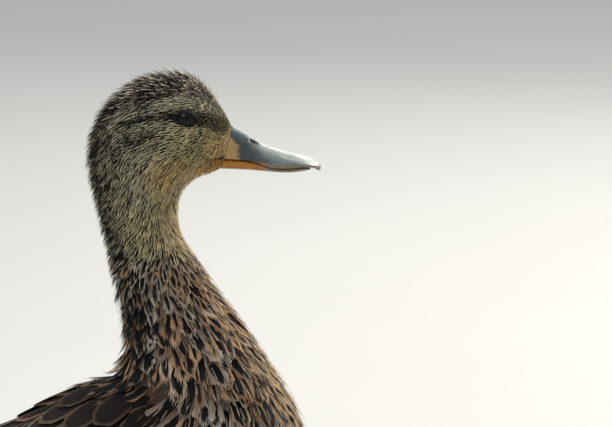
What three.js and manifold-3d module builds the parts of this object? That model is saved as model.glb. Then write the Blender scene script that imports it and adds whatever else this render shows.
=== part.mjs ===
// A standing mallard hen (Anas platyrhynchos), life size, alert with her neck up.
// Millimetres. +X is the way she faces, +Y her left side, +Z up, the floor is z = 0 and the origin
// is the middle of her bounding box on the floor. The solids reach to the tips of the plumage.
import * as THREE from "three";
import { mergeVertices } from "three/addons/utils/BufferGeometryUtils.js";
import Module from "manifold-3d";

const wasm = await Module();
wasm.setup();

// ---------------------------------------------------------------- driving dimensions
const GAP = 0.35; // clearance where two pieces meet
const EYE = { x: 118.1, z: 339.2, radius: 6.2, proud: 1.7 }; // proud: how far the ball stands out of the cheek
const NOSTRIL = { x: 153.1, y: 6.9, z: 325.8, length: 5.4, height: 2.2, depth: 4, slope: -0.42 };
const STANCE = 27; // each leg's distance from the middle
const ANKLE = { x: 30, z: 47 };
const FOOT = { x: 43, z: 7.5, splay: 0.06 }; // where the toes spread, and how far the foot turns out
// The tarsus: a share of the way from ankle to foot, and half its depth and half its width there.
const TARSUS = [
  [-0.05, 3.6, 3.0], [0.03, 4.3, 3.3], [0.12, 4.9, 3.5], [0.26, 3.9, 2.7],
  [0.5, 3.4, 2.4], [0.75, 3.3, 2.5], [0.95, 3.9, 3.4], [1.1, 4.2, 3.6],
];
// The feathered shank, from inside the flank down to the ankle.
const SHANK = [
  { at: [52, STANCE + 3, 82], fore: 24, side: 17 },
  { at: [46, STANCE + 2, 70], fore: 21, side: 15.5 },
  { at: [39.5, STANCE + 0.6, 58.5], fore: 13.5, side: 11.5 },
  { at: [34, STANCE, 51.5], fore: 7.6, side: 6.6 },
  { at: [30.6, STANCE, ANKLE.z - 1], fore: 5.0, side: 4.4 },
];
const TOES = [
  { name: "inner", angle: -0.47, length: 40, radius: 2.5 },
  { name: "middle", angle: -0.02, length: 49, radius: 2.8 },
  { name: "outer", angle: 0.43, length: 47, radius: 2.6 },
  { name: "hind", angle: Math.PI - 0.12, length: 10, radius: 1.7 },
];
const KNUCKLES = [0, 0.2, 0.4, 0.56, 0.72, 0.88, 1]; // shares of a toe, a swelling at every other one
const PAD = { radius: 5.2, back: 0.6, z: 3.4 }; // the ball of the foot
const CLAW = { length: 6.5, radius: 1.35, hind: 0.7 };
const WEB = { floor: 0.5, thickness: 1.3, sag: 0.2, reach: 0.93 };

// A section is cut across the bird between a point of her back and a point of her belly, both [x, z].
// half is half its width, widest the share of its height where it is widest, measured from the belly,
// and top and bottom are superellipse powers: 2 is round, more is fuller, less is leaner.
const section = (back, belly, half, widest = 0.5, top = 2, bottom = 2) => ({
  back, belly, half, widest, top, bottom,
});

const BODY = [
  section([143.4, 332.6], [136.6, 309.6], 9.6, 0.42, 1.9, 2.3), // bill base
  section([136.2, 345.2], [130.8, 306.8], 13.6, 0.42, 1.85, 2.2), // lores
  section([125.0, 358.4], [125.4, 304.9], 16.9, 0.42, 1.9, 2.1), // brow
  section([109.0, 362.8], [120.5, 301.5], 18.8, 0.41, 1.95, 2.1), // crown
  section([88.6, 357.2], [116.8, 297.5], 19.7, 0.42, 2.0, 2.1),
  section([73.2, 343.6], [114.8, 292.5], 19.9, 0.45, 2.0, 2.0), // hind head
  section([65.4, 325.0], [114.1, 286.5], 19.6, 0.48, 2.0, 2.0), // nape
  section([65.8, 304.0], [114.4, 280.0], 19.2, 0.5),
  section([71.0, 283.0], [116.2, 273.0], 19.3, 0.5), // upper neck
  section([75.5, 263.0], [122.4, 263.2], 20.4, 0.5),
  section([78.6, 244.0], [135.0, 244.6], 23.4, 0.5),
  section([82.0, 226.0], [148.6, 226.2], 28.2, 0.5), // lower neck
  section([81.6, 209.0], [162.6, 205.4], 34.8, 0.5),
  section([74.6, 197.4], [175.4, 184.4], 42.2, 0.49), // shoulder
  section([59.0, 191.6], [184.0, 160.0], 49.0, 0.48, 2.1, 2.0), // breast
  section([40.0, 181.4], [180.0, 124.0], 53.4, 0.48, 2.2, 2.1),
  section([20.0, 169.0], [148.0, 81.0], 55.0, 0.5, 2.2, 2.2),
  section([-3.0, 158.6], [100.0, 57.5], 55.0, 0.52, 2.2, 2.2), // belly
  section([-28.0, 146.6], [52.0, 52.5], 53.4, 0.53, 2.2, 2.2),
  section([-54.0, 134.6], [8.0, 55.5], 49.6, 0.54, 2.2, 2.2),
  section([-81.0, 122.6], [-34.0, 64.0], 43.4, 0.55, 2.2, 2.1),
  section([-107.0, 111.0], [-74.0, 76.0], 34.5, 0.56, 2.1, 2.0), // rump
  section([-131.0, 101.0], [-112.0, 87.6], 23.0, 0.55, 2.0, 2.0), // tail coverts
];
const NECK_FROM = 6.8; // station numbers of the cuts between head, neck and trunk
const TRUNK_FROM = 12.4;
const LAST_STATION = BODY.length - 1;

const UPPER_BILL = [
  section([143.9, 332.2], [139.9, 314.0], 9.0, 0.12, 1.9, 4.0),
  section([147.2, 330.0], [145.2, 312.5], 8.8, 0.14, 1.9, 4.0),
  section([152.2, 327.4], [151.4, 312.1], 8.9, 0.16, 1.95, 4.0),
  section([157.6, 324.4], [157.6, 311.3], 9.3, 0.18, 2.0, 3.6),
  section([163.2, 321.7], [163.4, 310.6], 10.0, 0.2, 2.1, 3.4),
  section([169.0, 319.7], [169.2, 310.3], 10.8, 0.22, 2.2, 3.2),
  section([174.6, 318.3], [174.8, 310.6], 11.4, 0.24, 2.3, 3.0),
  section([180.2, 316.8], [180.2, 311.2], 11.2, 0.28, 2.3, 2.8),
  section([185.0, 314.9], [184.8, 311.1], 9.0, 0.34, 2.2, 2.6),
  section([188.3, 313.0], [187.8, 309.6], 5.6, 0.4, 2.1, 2.4),
  section([190.2, 310.4], [189.4, 307.4], 2.4, 0.4, 2.0, 2.0), // nail
];
const LOWER_BILL = [
  section([139.4, 313.4], [137.8, 309.7], 8.0, 0.7, 3.0, 2.2),
  section([145.1, 312.0], [144.9, 309.4], 7.9, 0.75, 3.4, 2.3),
  section([151.4, 311.6], [151.3, 309.1], 8.1, 0.75, 3.4, 2.3),
  section([157.6, 310.8], [157.6, 308.6], 8.5, 0.75, 3.4, 2.3),
  section([163.4, 310.1], [163.4, 308.2], 9.1, 0.75, 3.2, 2.3),
  section([169.2, 309.8], [169.2, 307.8], 9.8, 0.75, 3.0, 2.3),
  section([174.8, 310.1], [174.8, 307.8], 10.2, 0.75, 3.0, 2.3),
  section([180.2, 310.7], [180.2, 308.4], 9.6, 0.7, 3.0, 2.3),
  section([184.6, 310.6], [184.6, 309.3], 6.6, 0.6, 2.6, 2.2),
];
const TAIL = [
  section([-131.4, 100.4], [-112.6, 87.2], 22.4, 0.55),
  section([-143.0, 97.6], [-134.0, 86.4], 25.4, 0.6, 2.2, 2.2),
  section([-157.0, 94.2], [-153.0, 86.2], 30.0, 0.65, 2.3, 2.3),
  section([-170.0, 91.2], [-168.6, 86.0], 32.4, 0.65, 2.4, 2.4),
  section([-181.0, 88.8], [-180.4, 85.6], 27.4, 0.6, 2.4, 2.4),
  section([-189.6, 87.0], [-189.4, 85.4], 11.0, 0.5, 2.2, 2.2),
];

// The folded wing in side view: its upper and lower edges as [x, z], how thick it is, and its distance
// from the middle. Up to station WING_FREED it lies on the trunk, whose side gives the distance instead.
const wingLine = (upper, lower, thick, out) => ({ upper, lower, thick, out });
const WING = [
  wingLine([96, 160], [92, 138], 2.5, 50),
  wingLine([74, 176], [70, 112], 6.0, 54),
  wingLine([40, 166], [34, 99], 7.2, 56),
  wingLine([6, 151], [-2, 93], 7.0, 56),
  wingLine([-28, 137], [-36, 91], 6.4, 53),
  wingLine([-60, 124.5], [-66, 93], 5.4, 44),
  wingLine([-90, 114.5], [-92, 98], 4.4, 35),
  wingLine([-118, 109], [-119, 101], 3.6, 21.5),
  wingLine([-142, 105.5], [-143, 101.5], 2.6, 12.5),
  wingLine([-158, 103.5], [-158.4, 101.8], 1.6, 7.5), // tips of the primaries
];
const WING_FREED = 6;
const WING_LIFT = 1.5; // how many stations before that it starts to leave the trunk
const WING_EDGE = 0.08; // the share of its thickness left at its edges, before the root is taken
const WING_SINK = 1.6; // how deep it beds into the trunk
const WING_SWELL = 0.8; // the share of its thickness that stands out of the trunk

// ---------------------------------------------------------------- shapes
// A smooth curve through evenly numbered values (Catmull-Rom), read at station s.
function along(values, s) {
  const last = values.length - 1;
  const i = Math.min(Math.max(Math.floor(s), 0), last - 1);
  const t = s - i;
  const at = (k) => {
    if (k < 0) return 2 * values[0] - values[1];
    if (k > last) return 2 * values[last] - values[last - 1];
    return values[k];
  };
  const [a, b, c, d] = [at(i - 1), at(i), at(i + 1), at(i + 2)];
  return b + 0.5 * t * (c - a + t * (2 * a - 5 * b + 4 * c - d + t * (3 * (b - c) + d - a)));
}

// The closed outline of a table's section at station s, grown outwards by grow.
function outline(table, s, sides, grow) {
  const read = (key, k) => along(table.map((row) => (k === undefined ? row[key] : row[key][k])), s);
  const back = new THREE.Vector3(read("back", 0), 0, read("back", 1));
  const belly = new THREE.Vector3(read("belly", 0), 0, read("belly", 1));
  const up = back.clone().sub(belly);
  const height = up.length() + 2 * grow;
  up.normalize();
  belly.addScaledVector(up, -grow);
  const half = read("half") + grow;
  const widest = read("widest");
  const points = [];
  for (let k = 0; k < sides; k++) {
    const angle = (2 * Math.PI * k) / sides;
    const upper = Math.cos(angle) >= 0;
    const power = 2 / (upper ? read("top") : read("bottom"));
    const rise = Math.sign(Math.cos(angle)) * Math.abs(Math.cos(angle)) ** power;
    const reach = Math.sign(Math.sin(angle)) * Math.abs(Math.sin(angle)) ** power;
    const level = height * (widest + rise * (upper ? 1 - widest : widest));
    const p = belly.clone().addScaledVector(up, level);
    p.y += half * reach;
    points.push(p);
  }
  return points;
}

// A closed skin over a stack of outlines, each with the same number of points, with flat ends.
function skinOver(rings) {
  const sides = rings[0].length;
  const positions = [];
  const faces = [];
  for (const ring of rings) for (const p of ring) positions.push(p.x, p.y, p.z);
  for (let r = 0; r + 1 < rings.length; r++) {
    for (let k = 0; k < sides; k++) {
      const [a, b] = [r * sides + k, r * sides + ((k + 1) % sides)];
      faces.push(a, a + sides, b, b, a + sides, b + sides);
    }
  }
  for (const [r, flip] of [[0, false], [rings.length - 1, true]]) {
    const centre = rings[r].reduce((sum, p) => sum.add(p), new THREE.Vector3()).divideScalar(sides);
    const hub = positions.length / 3;
    positions.push(centre.x, centre.y, centre.z);
    for (let k = 0; k < sides; k++) {
      const [a, b] = [r * sides + k, r * sides + ((k + 1) % sides)];
      faces.push(hub, flip ? b : a, flip ? a : b);
    }
  }
  const geometry = new THREE.BufferGeometry();
  geometry.setAttribute("position", new THREE.Float32BufferAttribute(positions, 3));
  geometry.setIndex(faces);
  return facingOut(geometry);
}

function volumeOf(geometry) {
  const at = geometry.getAttribute("position");
  const [a, b, c] = [new THREE.Vector3(), new THREE.Vector3(), new THREE.Vector3()];
  let sum = 0;
  for (let i = 0; i < geometry.index.count; i += 3) {
    [a, b, c].forEach((p, k) => p.fromBufferAttribute(at, geometry.index.getX(i + k)));
    sum += a.dot(b.cross(c)) / 6;
  }
  return sum;
}

function turnedRound(geometry) {
  const index = Array.from(geometry.index.array);
  for (let i = 0; i < index.length; i += 3) [index[i + 1], index[i + 2]] = [index[i + 2], index[i + 1]];
  return geometry.setIndex(index);
}

function facingOut(geometry) {
  return volumeOf(geometry) < 0 ? turnedRound(geometry) : geometry;
}

function loft(table, from, to, rings, sides, grow = 0) {
  const stack = [];
  for (let r = 0; r <= rings; r++) {
    stack.push(outline(table, from + ((to - from) * r) / rings, sides, grow));
  }
  return skinOver(stack);
}

// A stretch of the body to measure against, finer than the piece that is handed over.
const bareShape = (from, to, rings) => new THREE.Mesh(
  loft(BODY, from, to, rings, 48),
  new THREE.MeshBasicMaterial({ side: THREE.DoubleSide }),
);

// A limb: round sections along a path, each { at: [x, y, z], fore, side, across }, where fore and side
// are half its depth and half its width, and across, if given, is the way its width runs.
function limb(path, sides) {
  const centres = path.map((row) => new THREE.Vector3(...row.at));
  const stack = path.map((row, i) => {
    const before = centres[Math.max(i - 1, 0)];
    const after = centres[Math.min(i + 1, centres.length - 1)];
    const way = after.clone().sub(before).normalize();
    const side = new THREE.Vector3(0, 1, 0).addScaledVector(way, -way.y).normalize();
    if (row.across) side.set(...row.across);
    const fore = way.clone().cross(side).normalize();
    return Array.from({ length: sides }, (_, k) => {
      const angle = (2 * Math.PI * (k + 0.5)) / sides;
      return centres[i].clone()
        .addScaledVector(side, row.side * Math.cos(angle))
        .addScaledVector(fore, row.fore * Math.sin(angle));
    });
  });
  return skinOver(stack);
}

function mirrored(geometry) {
  return turnedRound(geometry.clone().applyMatrix4(new THREE.Matrix4().makeScale(1, -1, 1)));
}

// ---------------------------------------------------------------- joins and cuts
function solid(geometry) {
  const bare = geometry.index ? geometry.toNonIndexed() : geometry.clone();
  bare.deleteAttribute("normal");
  bare.deleteAttribute("uv");
  const merged = mergeVertices(bare, 1e-4);
  return new wasm.Manifold(
    new wasm.Mesh({
      numProp: 3,
      vertProperties: merged.getAttribute("position").array,
      triVerts: new Uint32Array(merged.index.array),
    }),
  );
}

function geometryOf(made) {
  const mesh = made.getMesh();
  const geometry = new THREE.BufferGeometry();
  geometry.setAttribute("position", new THREE.Float32BufferAttribute(mesh.vertProperties, 3));
  geometry.setIndex(new THREE.BufferAttribute(mesh.triVerts, 1));
  return geometry;
}

const cutBy = (piece, cutters) => cutters.reduce((left, cutter) => left.subtract(cutter), piece);
const joined = (pieces) => pieces.reduce((whole, piece) => whole.add(piece));

// ---------------------------------------------------------------- wings
// How far a shape's left side lies from the middle at a place in side view.
const fromTheLeft = new THREE.Raycaster();
function sideOf(shape, x, z) {
  fromTheLeft.set(new THREE.Vector3(x, 200, z), new THREE.Vector3(0, -1, 0));
  const hit = fromTheLeft.intersectObject(shape)[0];
  return hit ? hit.point.y : 0;
}

const bareTrunk = bareShape(TRUNK_FROM - 1, LAST_STATION, 44);
// The left wing, as rings across it: out over its outer face and back along its inner one.
function wing(grow) {
  const [lines, steps] = [20, 6];
  const read = (key, s) => along(WING.map((row) => row[key]), s);
  const point = (key, s) => new THREE.Vector2(...[0, 1].map((k) => along(WING.map((row) => row[key][k]), s)));
  const rings = [];
  for (let r = 0; r <= lines; r++) {
    const s = ((WING.length - 1) * r) / lines;
    const upper = point("upper", s);
    const lower = point("lower", s);
    const reach = lower.clone().sub(upper).normalize().multiplyScalar(grow);
    upper.sub(reach);
    lower.add(reach);
    const thick = read("thick", s);
    const free = THREE.MathUtils.smoothstep(s, WING_FREED - WING_LIFT, WING_FREED);
    const place = (t, height) => {
      const p = upper.clone().lerp(lower, t);
      const lying = free < 1 ? sideOf(bareTrunk, p.x, p.y) : 0;
      const side = THREE.MathUtils.lerp(lying, read("out", s) - thick / 2, free);
      return new THREE.Vector3(p.x, side + height, p.y);
    };
    const outer = [];
    const inner = [];
    for (let k = 0; k <= steps; k++) {
      const t = k / steps;
      const swell = thick * WING_SWELL * Math.sqrt(Math.sin(Math.PI * t) * (1 - WING_EDGE) + WING_EDGE);
      outer.push(place(t, swell + grow));
      inner.unshift(place(t, -WING_SINK * (1 - free) - grow));
    }
    rings.push([...outer, ...inner]);
  }
  return skinOver(rings);
}

// ---------------------------------------------------------------- legs
const onToe = (toe, run) => {
  const turn = toe.angle + FOOT.splay;
  return new THREE.Vector2(FOOT.x + Math.cos(turn) * run, STANCE + Math.sin(turn) * run);
};
const acrossToe = (toe) => {
  const turn = toe.angle + FOOT.splay;
  return [-Math.sin(turn), Math.cos(turn), 0];
};

function toePath(toe) {
  return KNUCKLES.map((t, i) => {
    const radius = toe.radius * (1.12 - 0.5 * t) * (i % 2 === 0 ? 1.12 : 1);
    const high = toe.name === "hind" ? 5 * (1 - t) + radius * 0.7 : radius * 0.8 + 1.6 * (1 - t) ** 3;
    const { x, y } = onToe(toe, toe.length * t);
    return { at: [x, y, high], fore: radius, side: radius * 1.1, across: acrossToe(toe) };
  });
}

function clawPath(toe) {
  const size = toe.name === "hind" ? CLAW.hind : 1;
  const radius = CLAW.radius * size;
  return [0, 0.5, 1].map((t) => {
    const { x, y } = onToe(toe, toe.length + GAP + t * CLAW.length * size);
    const thin = 1 - 0.72 * t;
    return {
      at: [x, y, radius * (1.25 - 0.75 * t ** 2)],
      fore: radius * thin,
      side: radius * thin * 0.85,
      across: acrossToe(toe),
    };
  });
}

// The web between two toes: a thin sheet whose front edge sags back towards the leg.
function web(first, second) {
  const [a, b] = [first, second].map((toe) => onToe(toe, toe.length * WEB.reach));
  const root = new THREE.Vector2(FOOT.x, STANCE);
  const bend = a.clone().add(b).multiplyScalar(0.5).lerp(root, WEB.sag);
  const sheet = new THREE.Shape();
  sheet.moveTo(root.x, root.y);
  sheet.lineTo(a.x, a.y);
  sheet.quadraticCurveTo(bend.x, bend.y, b.x, b.y);
  sheet.closePath();
  const geometry = new THREE.ExtrudeGeometry(sheet, {
    depth: WEB.thickness, bevelEnabled: false, curveSegments: 6,
  });
  return geometry.translate(0, 0, WEB.floor);
}

const SLAB = 60; // the thickness of a cutter, more than any piece it trims
const below = (z) => solid(new THREE.BoxGeometry(400, 400, SLAB).translate(0, 0, z - SLAB / 2));
const above = (z) => solid(new THREE.BoxGeometry(400, 400, SLAB).translate(0, 0, z + SLAB / 2));

function foot() {
  const toes = TOES.map((toe) => solid(limb(toePath(toe), 7)));
  const webs = [web(TOES[0], TOES[1]), web(TOES[1], TOES[2])].map(solid);
  const pad = new THREE.SphereGeometry(PAD.radius, 8, 6).scale(1, 0.86, 0.8);
  pad.translate(FOOT.x - PAD.back, STANCE, PAD.z);
  return cutBy(joined([...toes, ...webs, solid(pad)]), [below(0), above(FOOT.z - GAP)]);
}

function tarsus() {
  const lerp = THREE.MathUtils.lerp;
  const bone = TARSUS.map(([t, fore, side]) => (
    { at: [lerp(ANKLE.x, FOOT.x, t), STANCE, lerp(ANKLE.z, FOOT.z, t)], fore, side }
  ));
  return cutBy(solid(limb(bone, 10)), [above(ANKLE.z), below(FOOT.z)]);
}

function shank() {
  const aroundTrunk = solid(loft(BODY, TRUNK_FROM, LAST_STATION, 19, 32, GAP));
  return cutBy(solid(limb(SHANK, 14)), [aroundTrunk, below(ANKLE.z + GAP)]);
}

// ---------------------------------------------------------------- the bird
const COLOURS = {
  plumage: [0x8a7355, 0.85], bill: [0x59605c, 0.45], eye: [0x17110d, 0.08],
  leg: [0xd9772a, 0.55], claw: [0x2c2622, 0.4], wing: [0x5b4a3a, 0.8],
};
const bird = new THREE.Group();

function put(name, geometry, look) {
  const [colour, roughness] = COLOURS[look];
  const material = new THREE.MeshStandardMaterial({ color: colour, roughness, metalness: 0 });
  const mesh = new THREE.Mesh(geometry, material);
  mesh.name = name;
  bird.add(mesh);
}

// The station number that stands GAP past a cut, measured where the sections are closest together.
function pastCut(cut, towards) {
  const step = 0.05;
  const edge = (key, s) => new THREE.Vector2(...[0, 1].map((k) => along(BODY.map((row) => row[key][k]), s)));
  const spread = ["back", "belly"].map((key) => edge(key, cut).distanceTo(edge(key, cut + step * towards)));
  return cut + (towards * step * GAP) / Math.min(...spread);
}

// Head, with a socket for each eye.
const cheek = bareShape(0, NECK_FROM, 30);
const eyeY = sideOf(cheek, EYE.x, EYE.z) + EYE.proud - EYE.radius;
const ball = (side, radius) => new THREE.SphereGeometry(radius, 14, 9)
  .translate(EYE.x, side * eyeY, EYE.z);
const sockets = [1, -1].map((side) => solid(ball(side, EYE.radius + GAP)));
put("head", geometryOf(cutBy(solid(loft(BODY, 0, NECK_FROM, 15, 28)), sockets)), "plumage");
put("eye_left", ball(1, EYE.radius), "eye");
put("eye_right", ball(-1, EYE.radius), "eye");

// Bill, with a nostril hollowed in each side.
const nostrilHole = (side) => solid(new THREE.SphereGeometry(0.5, 10, 6)
  .scale(NOSTRIL.length, NOSTRIL.depth, NOSTRIL.height)
  .rotateY(-NOSTRIL.slope)
  .translate(NOSTRIL.x, side * NOSTRIL.y, NOSTRIL.z));
const upperBill = solid(loft(UPPER_BILL, 0, UPPER_BILL.length - 1, 16, 18));
put("bill_upper", geometryOf(cutBy(upperBill, [nostrilHole(1), nostrilHole(-1)])), "bill");
put("bill_lower", loft(LOWER_BILL, 0, LOWER_BILL.length - 1, 10, 12), "bill");

put("neck", loft(BODY, pastCut(NECK_FROM, 1), pastCut(TRUNK_FROM, -1), 11, 28), "plumage");

// Trunk, with a bed for each wing.
const leftWing = wing(0);
const wingBed = wing(GAP);
const beds = [solid(wingBed), solid(mirrored(wingBed))];
const trunk = solid(loft(BODY, TRUNK_FROM, LAST_STATION, 19, 32));
put("trunk", geometryOf(cutBy(trunk, beds)), "plumage");
put("wing_left", leftWing, "wing");
put("wing_right", mirrored(leftWing), "wing");
put("tail", geometryOf(cutBy(solid(loft(TAIL, 0, TAIL.length - 1, 9, 18)), beds)), "wing");

// Legs.
const leftShank = geometryOf(shank());
const leftTarsus = geometryOf(tarsus());
const leftFoot = geometryOf(foot());
for (const [side, made] of [["left", (g) => g], ["right", mirrored]]) {
  put(`shank_${side}`, made(leftShank), "plumage");
  put(`tarsus_${side}`, made(leftTarsus), "leg");
  put(`foot_${side}`, made(leftFoot), "leg");
  for (const toe of TOES) put(`claw_${toe.name}_${side}`, made(limb(clawPath(toe), 6)), "claw");
}

// The origin: the middle of the bounding box, on the floor.
const box = new THREE.Box3().setFromObject(bird);
const middle = box.getCenter(new THREE.Vector3());
bird.position.set(-middle.x, 0, -box.min.z);

export default bird;
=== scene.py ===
"""A standing mallard hen, life size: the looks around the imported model. Lengths are millimetres until
a mesh is made. Stations run from the bill (0) over head, neck and trunk to the tail, and angles run
round the bird from the middle of her back (0) over her left side and belly (half a turn)."""
import math

import bpy
import numpy as np
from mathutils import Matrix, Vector, kdtree
from mathutils.bvhtree import BVHTree


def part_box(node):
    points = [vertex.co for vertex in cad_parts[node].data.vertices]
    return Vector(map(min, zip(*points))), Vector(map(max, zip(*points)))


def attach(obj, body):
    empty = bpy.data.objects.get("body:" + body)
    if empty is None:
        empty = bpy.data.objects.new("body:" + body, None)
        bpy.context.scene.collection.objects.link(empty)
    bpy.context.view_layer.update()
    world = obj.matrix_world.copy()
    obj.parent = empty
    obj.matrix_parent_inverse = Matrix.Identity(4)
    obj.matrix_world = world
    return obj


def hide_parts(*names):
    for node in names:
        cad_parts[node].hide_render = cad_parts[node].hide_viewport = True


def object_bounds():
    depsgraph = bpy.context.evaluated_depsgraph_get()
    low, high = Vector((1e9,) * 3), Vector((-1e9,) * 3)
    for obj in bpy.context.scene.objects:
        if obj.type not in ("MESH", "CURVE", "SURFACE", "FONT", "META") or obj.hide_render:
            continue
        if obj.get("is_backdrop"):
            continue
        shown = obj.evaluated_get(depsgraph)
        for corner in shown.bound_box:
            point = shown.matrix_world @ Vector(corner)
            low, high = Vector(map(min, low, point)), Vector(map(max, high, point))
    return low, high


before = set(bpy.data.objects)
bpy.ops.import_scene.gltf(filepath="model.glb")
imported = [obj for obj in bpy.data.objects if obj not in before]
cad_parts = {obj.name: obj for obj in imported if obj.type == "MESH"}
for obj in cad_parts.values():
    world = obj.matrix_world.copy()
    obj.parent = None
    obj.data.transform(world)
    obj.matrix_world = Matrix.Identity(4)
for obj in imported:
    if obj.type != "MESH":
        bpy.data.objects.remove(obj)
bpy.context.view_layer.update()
rng = np.random.default_rng(41)
MM = 0.001

# ---------------------------------------------------------------- the bird's outline
# back x, back z, belly x, belly z, half width, where it is widest, upper power, lower power
BODY = np.array([
    (143.4, 332.6, 136.6, 309.6, 9.6, 0.42, 1.9, 2.3),
    (136.2, 345.2, 130.8, 306.8, 13.6, 0.42, 1.85, 2.2),
    (125, 358.4, 125.4, 304.9, 16.9, 0.42, 1.9, 2.1), (109, 362.8, 120.5, 301.5, 18.8, 0.41, 1.95, 2.1),
    (88.6, 357.2, 116.8, 297.5, 19.7, 0.42, 2, 2.1), (73.2, 343.6, 114.8, 292.5, 19.9, 0.45, 2, 2),
    (65.4, 325, 114.1, 286.5, 19.6, 0.48, 2, 2), (65.8, 304, 114.4, 280, 19.2, 0.5, 2, 2),
    (71, 283, 116.2, 273, 19.3, 0.5, 2, 2), (75.5, 263, 122.4, 263.2, 20.4, 0.5, 2, 2),
    (78.6, 244, 135, 244.6, 23.4, 0.5, 2, 2), (82, 226, 148.6, 226.2, 28.2, 0.5, 2, 2),
    (81.6, 209, 162.6, 205.4, 34.8, 0.5, 2, 2), (74.6, 197.4, 175.4, 184.4, 42.2, 0.49, 2, 2),
    (59, 191.6, 184, 160, 49, 0.48, 2.1, 2), (40, 181.4, 180, 124, 53.4, 0.48, 2.2, 2.1),
    (20, 169, 148, 81, 55, 0.5, 2.2, 2.2), (-3, 158.6, 100, 57.5, 55, 0.52, 2.2, 2.2),
    (-28, 146.6, 52, 52.5, 53.4, 0.53, 2.2, 2.2), (-54, 134.6, 8, 55.5, 49.6, 0.54, 2.2, 2.2),
    (-81, 122.6, -34, 64, 43.4, 0.55, 2.2, 2.1), (-107, 111, -74, 76, 34.5, 0.56, 2.1, 2),
    (-131, 101, -112, 87.6, 23, 0.55, 2, 2), (-143, 97.6, -134, 86.4, 25.4, 0.6, 2.2, 2.2),
    (-157, 94.2, -153, 86.2, 30, 0.65, 2.3, 2.3), (-170, 91.2, -168.6, 86, 32.4, 0.65, 2.4, 2.4),
])
UPPER_BILL = np.array([
    (142.6, 332.6, 138.4, 315.6, 8.9, 0.12, 1.9, 4), (147.2, 330, 145.2, 315.2, 8.8, 0.14, 1.9, 4),
    (152.2, 327.4, 151.4, 314.5, 8.9, 0.16, 1.95, 4), (157.6, 324.4, 157.6, 312.6, 9.3, 0.18, 2, 3.6),
    (163.2, 321.7, 163.4, 310.6, 10, 0.2, 2.1, 3.4), (169, 319.7, 169.2, 310.3, 10.8, 0.22, 2.2, 3.2),
    (174.6, 318.3, 174.8, 310.6, 11.4, 0.24, 2.3, 3),
    (180.2, 316.8, 180.2, 311.2, 11.2, 0.28, 2.3, 2.8), (185, 314.9, 184.8, 311, 9.2, 0.34, 2.2, 2.6),
    (188.1, 313.2, 187.4, 310, 6.4, 0.4, 2.1, 2.4), (189.7, 311.7, 188.9, 309, 3.9, 0.4, 2, 2),
    (190.2, 310.2, 189.9, 309.2, 1.1, 0.4, 2, 2),
])
LOWER_BILL = np.array([
    (138, 315.9, 136.4, 309.9, 8.4, 0.6, 3, 2.4), (145.1, 315.6, 144.9, 309.6, 8.3, 0.62, 3.2, 2.5),
    (151.4, 314.9, 151.3, 309.3, 8.4, 0.64, 3.4, 2.5),
    (157.6, 313.2, 157.6, 308.9, 8.8, 0.68, 3.4, 2.5),
    (163.4, 311.3, 163.4, 308.5, 9.4, 0.72, 3.2, 2.3), (169.2, 310.8, 169.2, 308.2, 10.1, 0.75, 3, 2.3),
    (174.8, 311.1, 174.8, 308.2, 10.5, 0.75, 3, 2.3), (180.2, 311.7, 180.2, 308.8, 9.9, 0.7, 3, 2.3),
    (184.6, 311.4, 184.6, 309.6, 6.6, 0.6, 2.6, 2.2),
])
# the folded wing in side view: upper x, z, lower x, z, thickness, distance from the middle once free
WING = np.array([
    (96, 160, 92, 138, 2.5, 50), (74, 176, 70, 112, 6, 54), (40, 166, 34, 99, 7.2, 56),
    (6, 151, -2, 93, 7, 56), (-28, 137, -36, 91, 6.4, 53), (-60, 124.5, -66, 93, 5.4, 44),
    (-90, 114.5, -92, 98, 4.4, 35), (-118, 109, -119, 101, 3.6, 21.5),
    (-142, 105.5, -143, 101.5, 2.6, 12.5), (-158, 103.5, -158.4, 101.8, 1.6, 7.5),
])
EYE = (118.1, 339.2)
EYE_RADIUS = 6.2
LID_FRONT, LID_REAR = 4.9, 5.4  # how far the eye's opening reaches from its middle
LOOK_DOWN = 0.176  # how much lower the camera sees a place for each mm that it lies to the side
BILL_TIP = 190.2
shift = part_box("bill_upper")[1].x / MM - BILL_TIP  # from the outline's x to the frame's
PER_STATION, ROUND = 24, 224  # the coat's points from one station to the next, and round the bird
COARSE_FROM = 8.75  # the station where the neck's fine feathers give way to the breast's
SKIN_END = 22.6


def unit(v):
    return v / np.maximum(np.linalg.norm(v, axis=-1, keepdims=True), 1e-9)


def smooth(low, high, v):
    t = np.clip((v - low) / (high - low), 0, 1)
    return t * t * (3 - 2 * t)


def mix(a, b, t):
    t = np.asarray(t, float)[..., None]
    return np.asarray(a) * (1 - t) + np.asarray(b) * t


def bell(v, width):
    return np.exp(-((v / width) ** 2))


def stacked(*parts):
    return np.stack(np.broadcast_arrays(*parts), -1)


def grid_of(a, b):
    return np.meshgrid(a, b, indexing="ij")


def circle(count):
    return 2 * math.pi * np.arange(count) / count


def from_back(j):
    """Degrees between columns of the coat and the middle of the back."""
    return np.abs((j / ROUND * 360 + 180) % 360 - 180)


def seen_height(place):
    """The height at which places show in side view."""
    return place[..., 2] - LOOK_DOWN * np.abs(place[..., 1])


def along(rows, s):
    """A smooth curve through evenly numbered rows (Catmull-Rom), read at stations s."""
    s = np.asarray(s, float)
    last = len(rows) - 1
    i = np.clip(np.floor(s).astype(int), 0, last - 1)
    t = (s - i)[..., None]
    more = np.vstack([2 * rows[:1] - rows[1:2], rows, 2 * rows[-1:] - rows[-2:-1]])
    a, b, c, d = (more[i + k] for k in range(4))
    return b + 0.5 * t * (c - a + t * (2 * a - 5 * b + 4 * c - d + t * (3 * (b - c) + d - a)))


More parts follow.
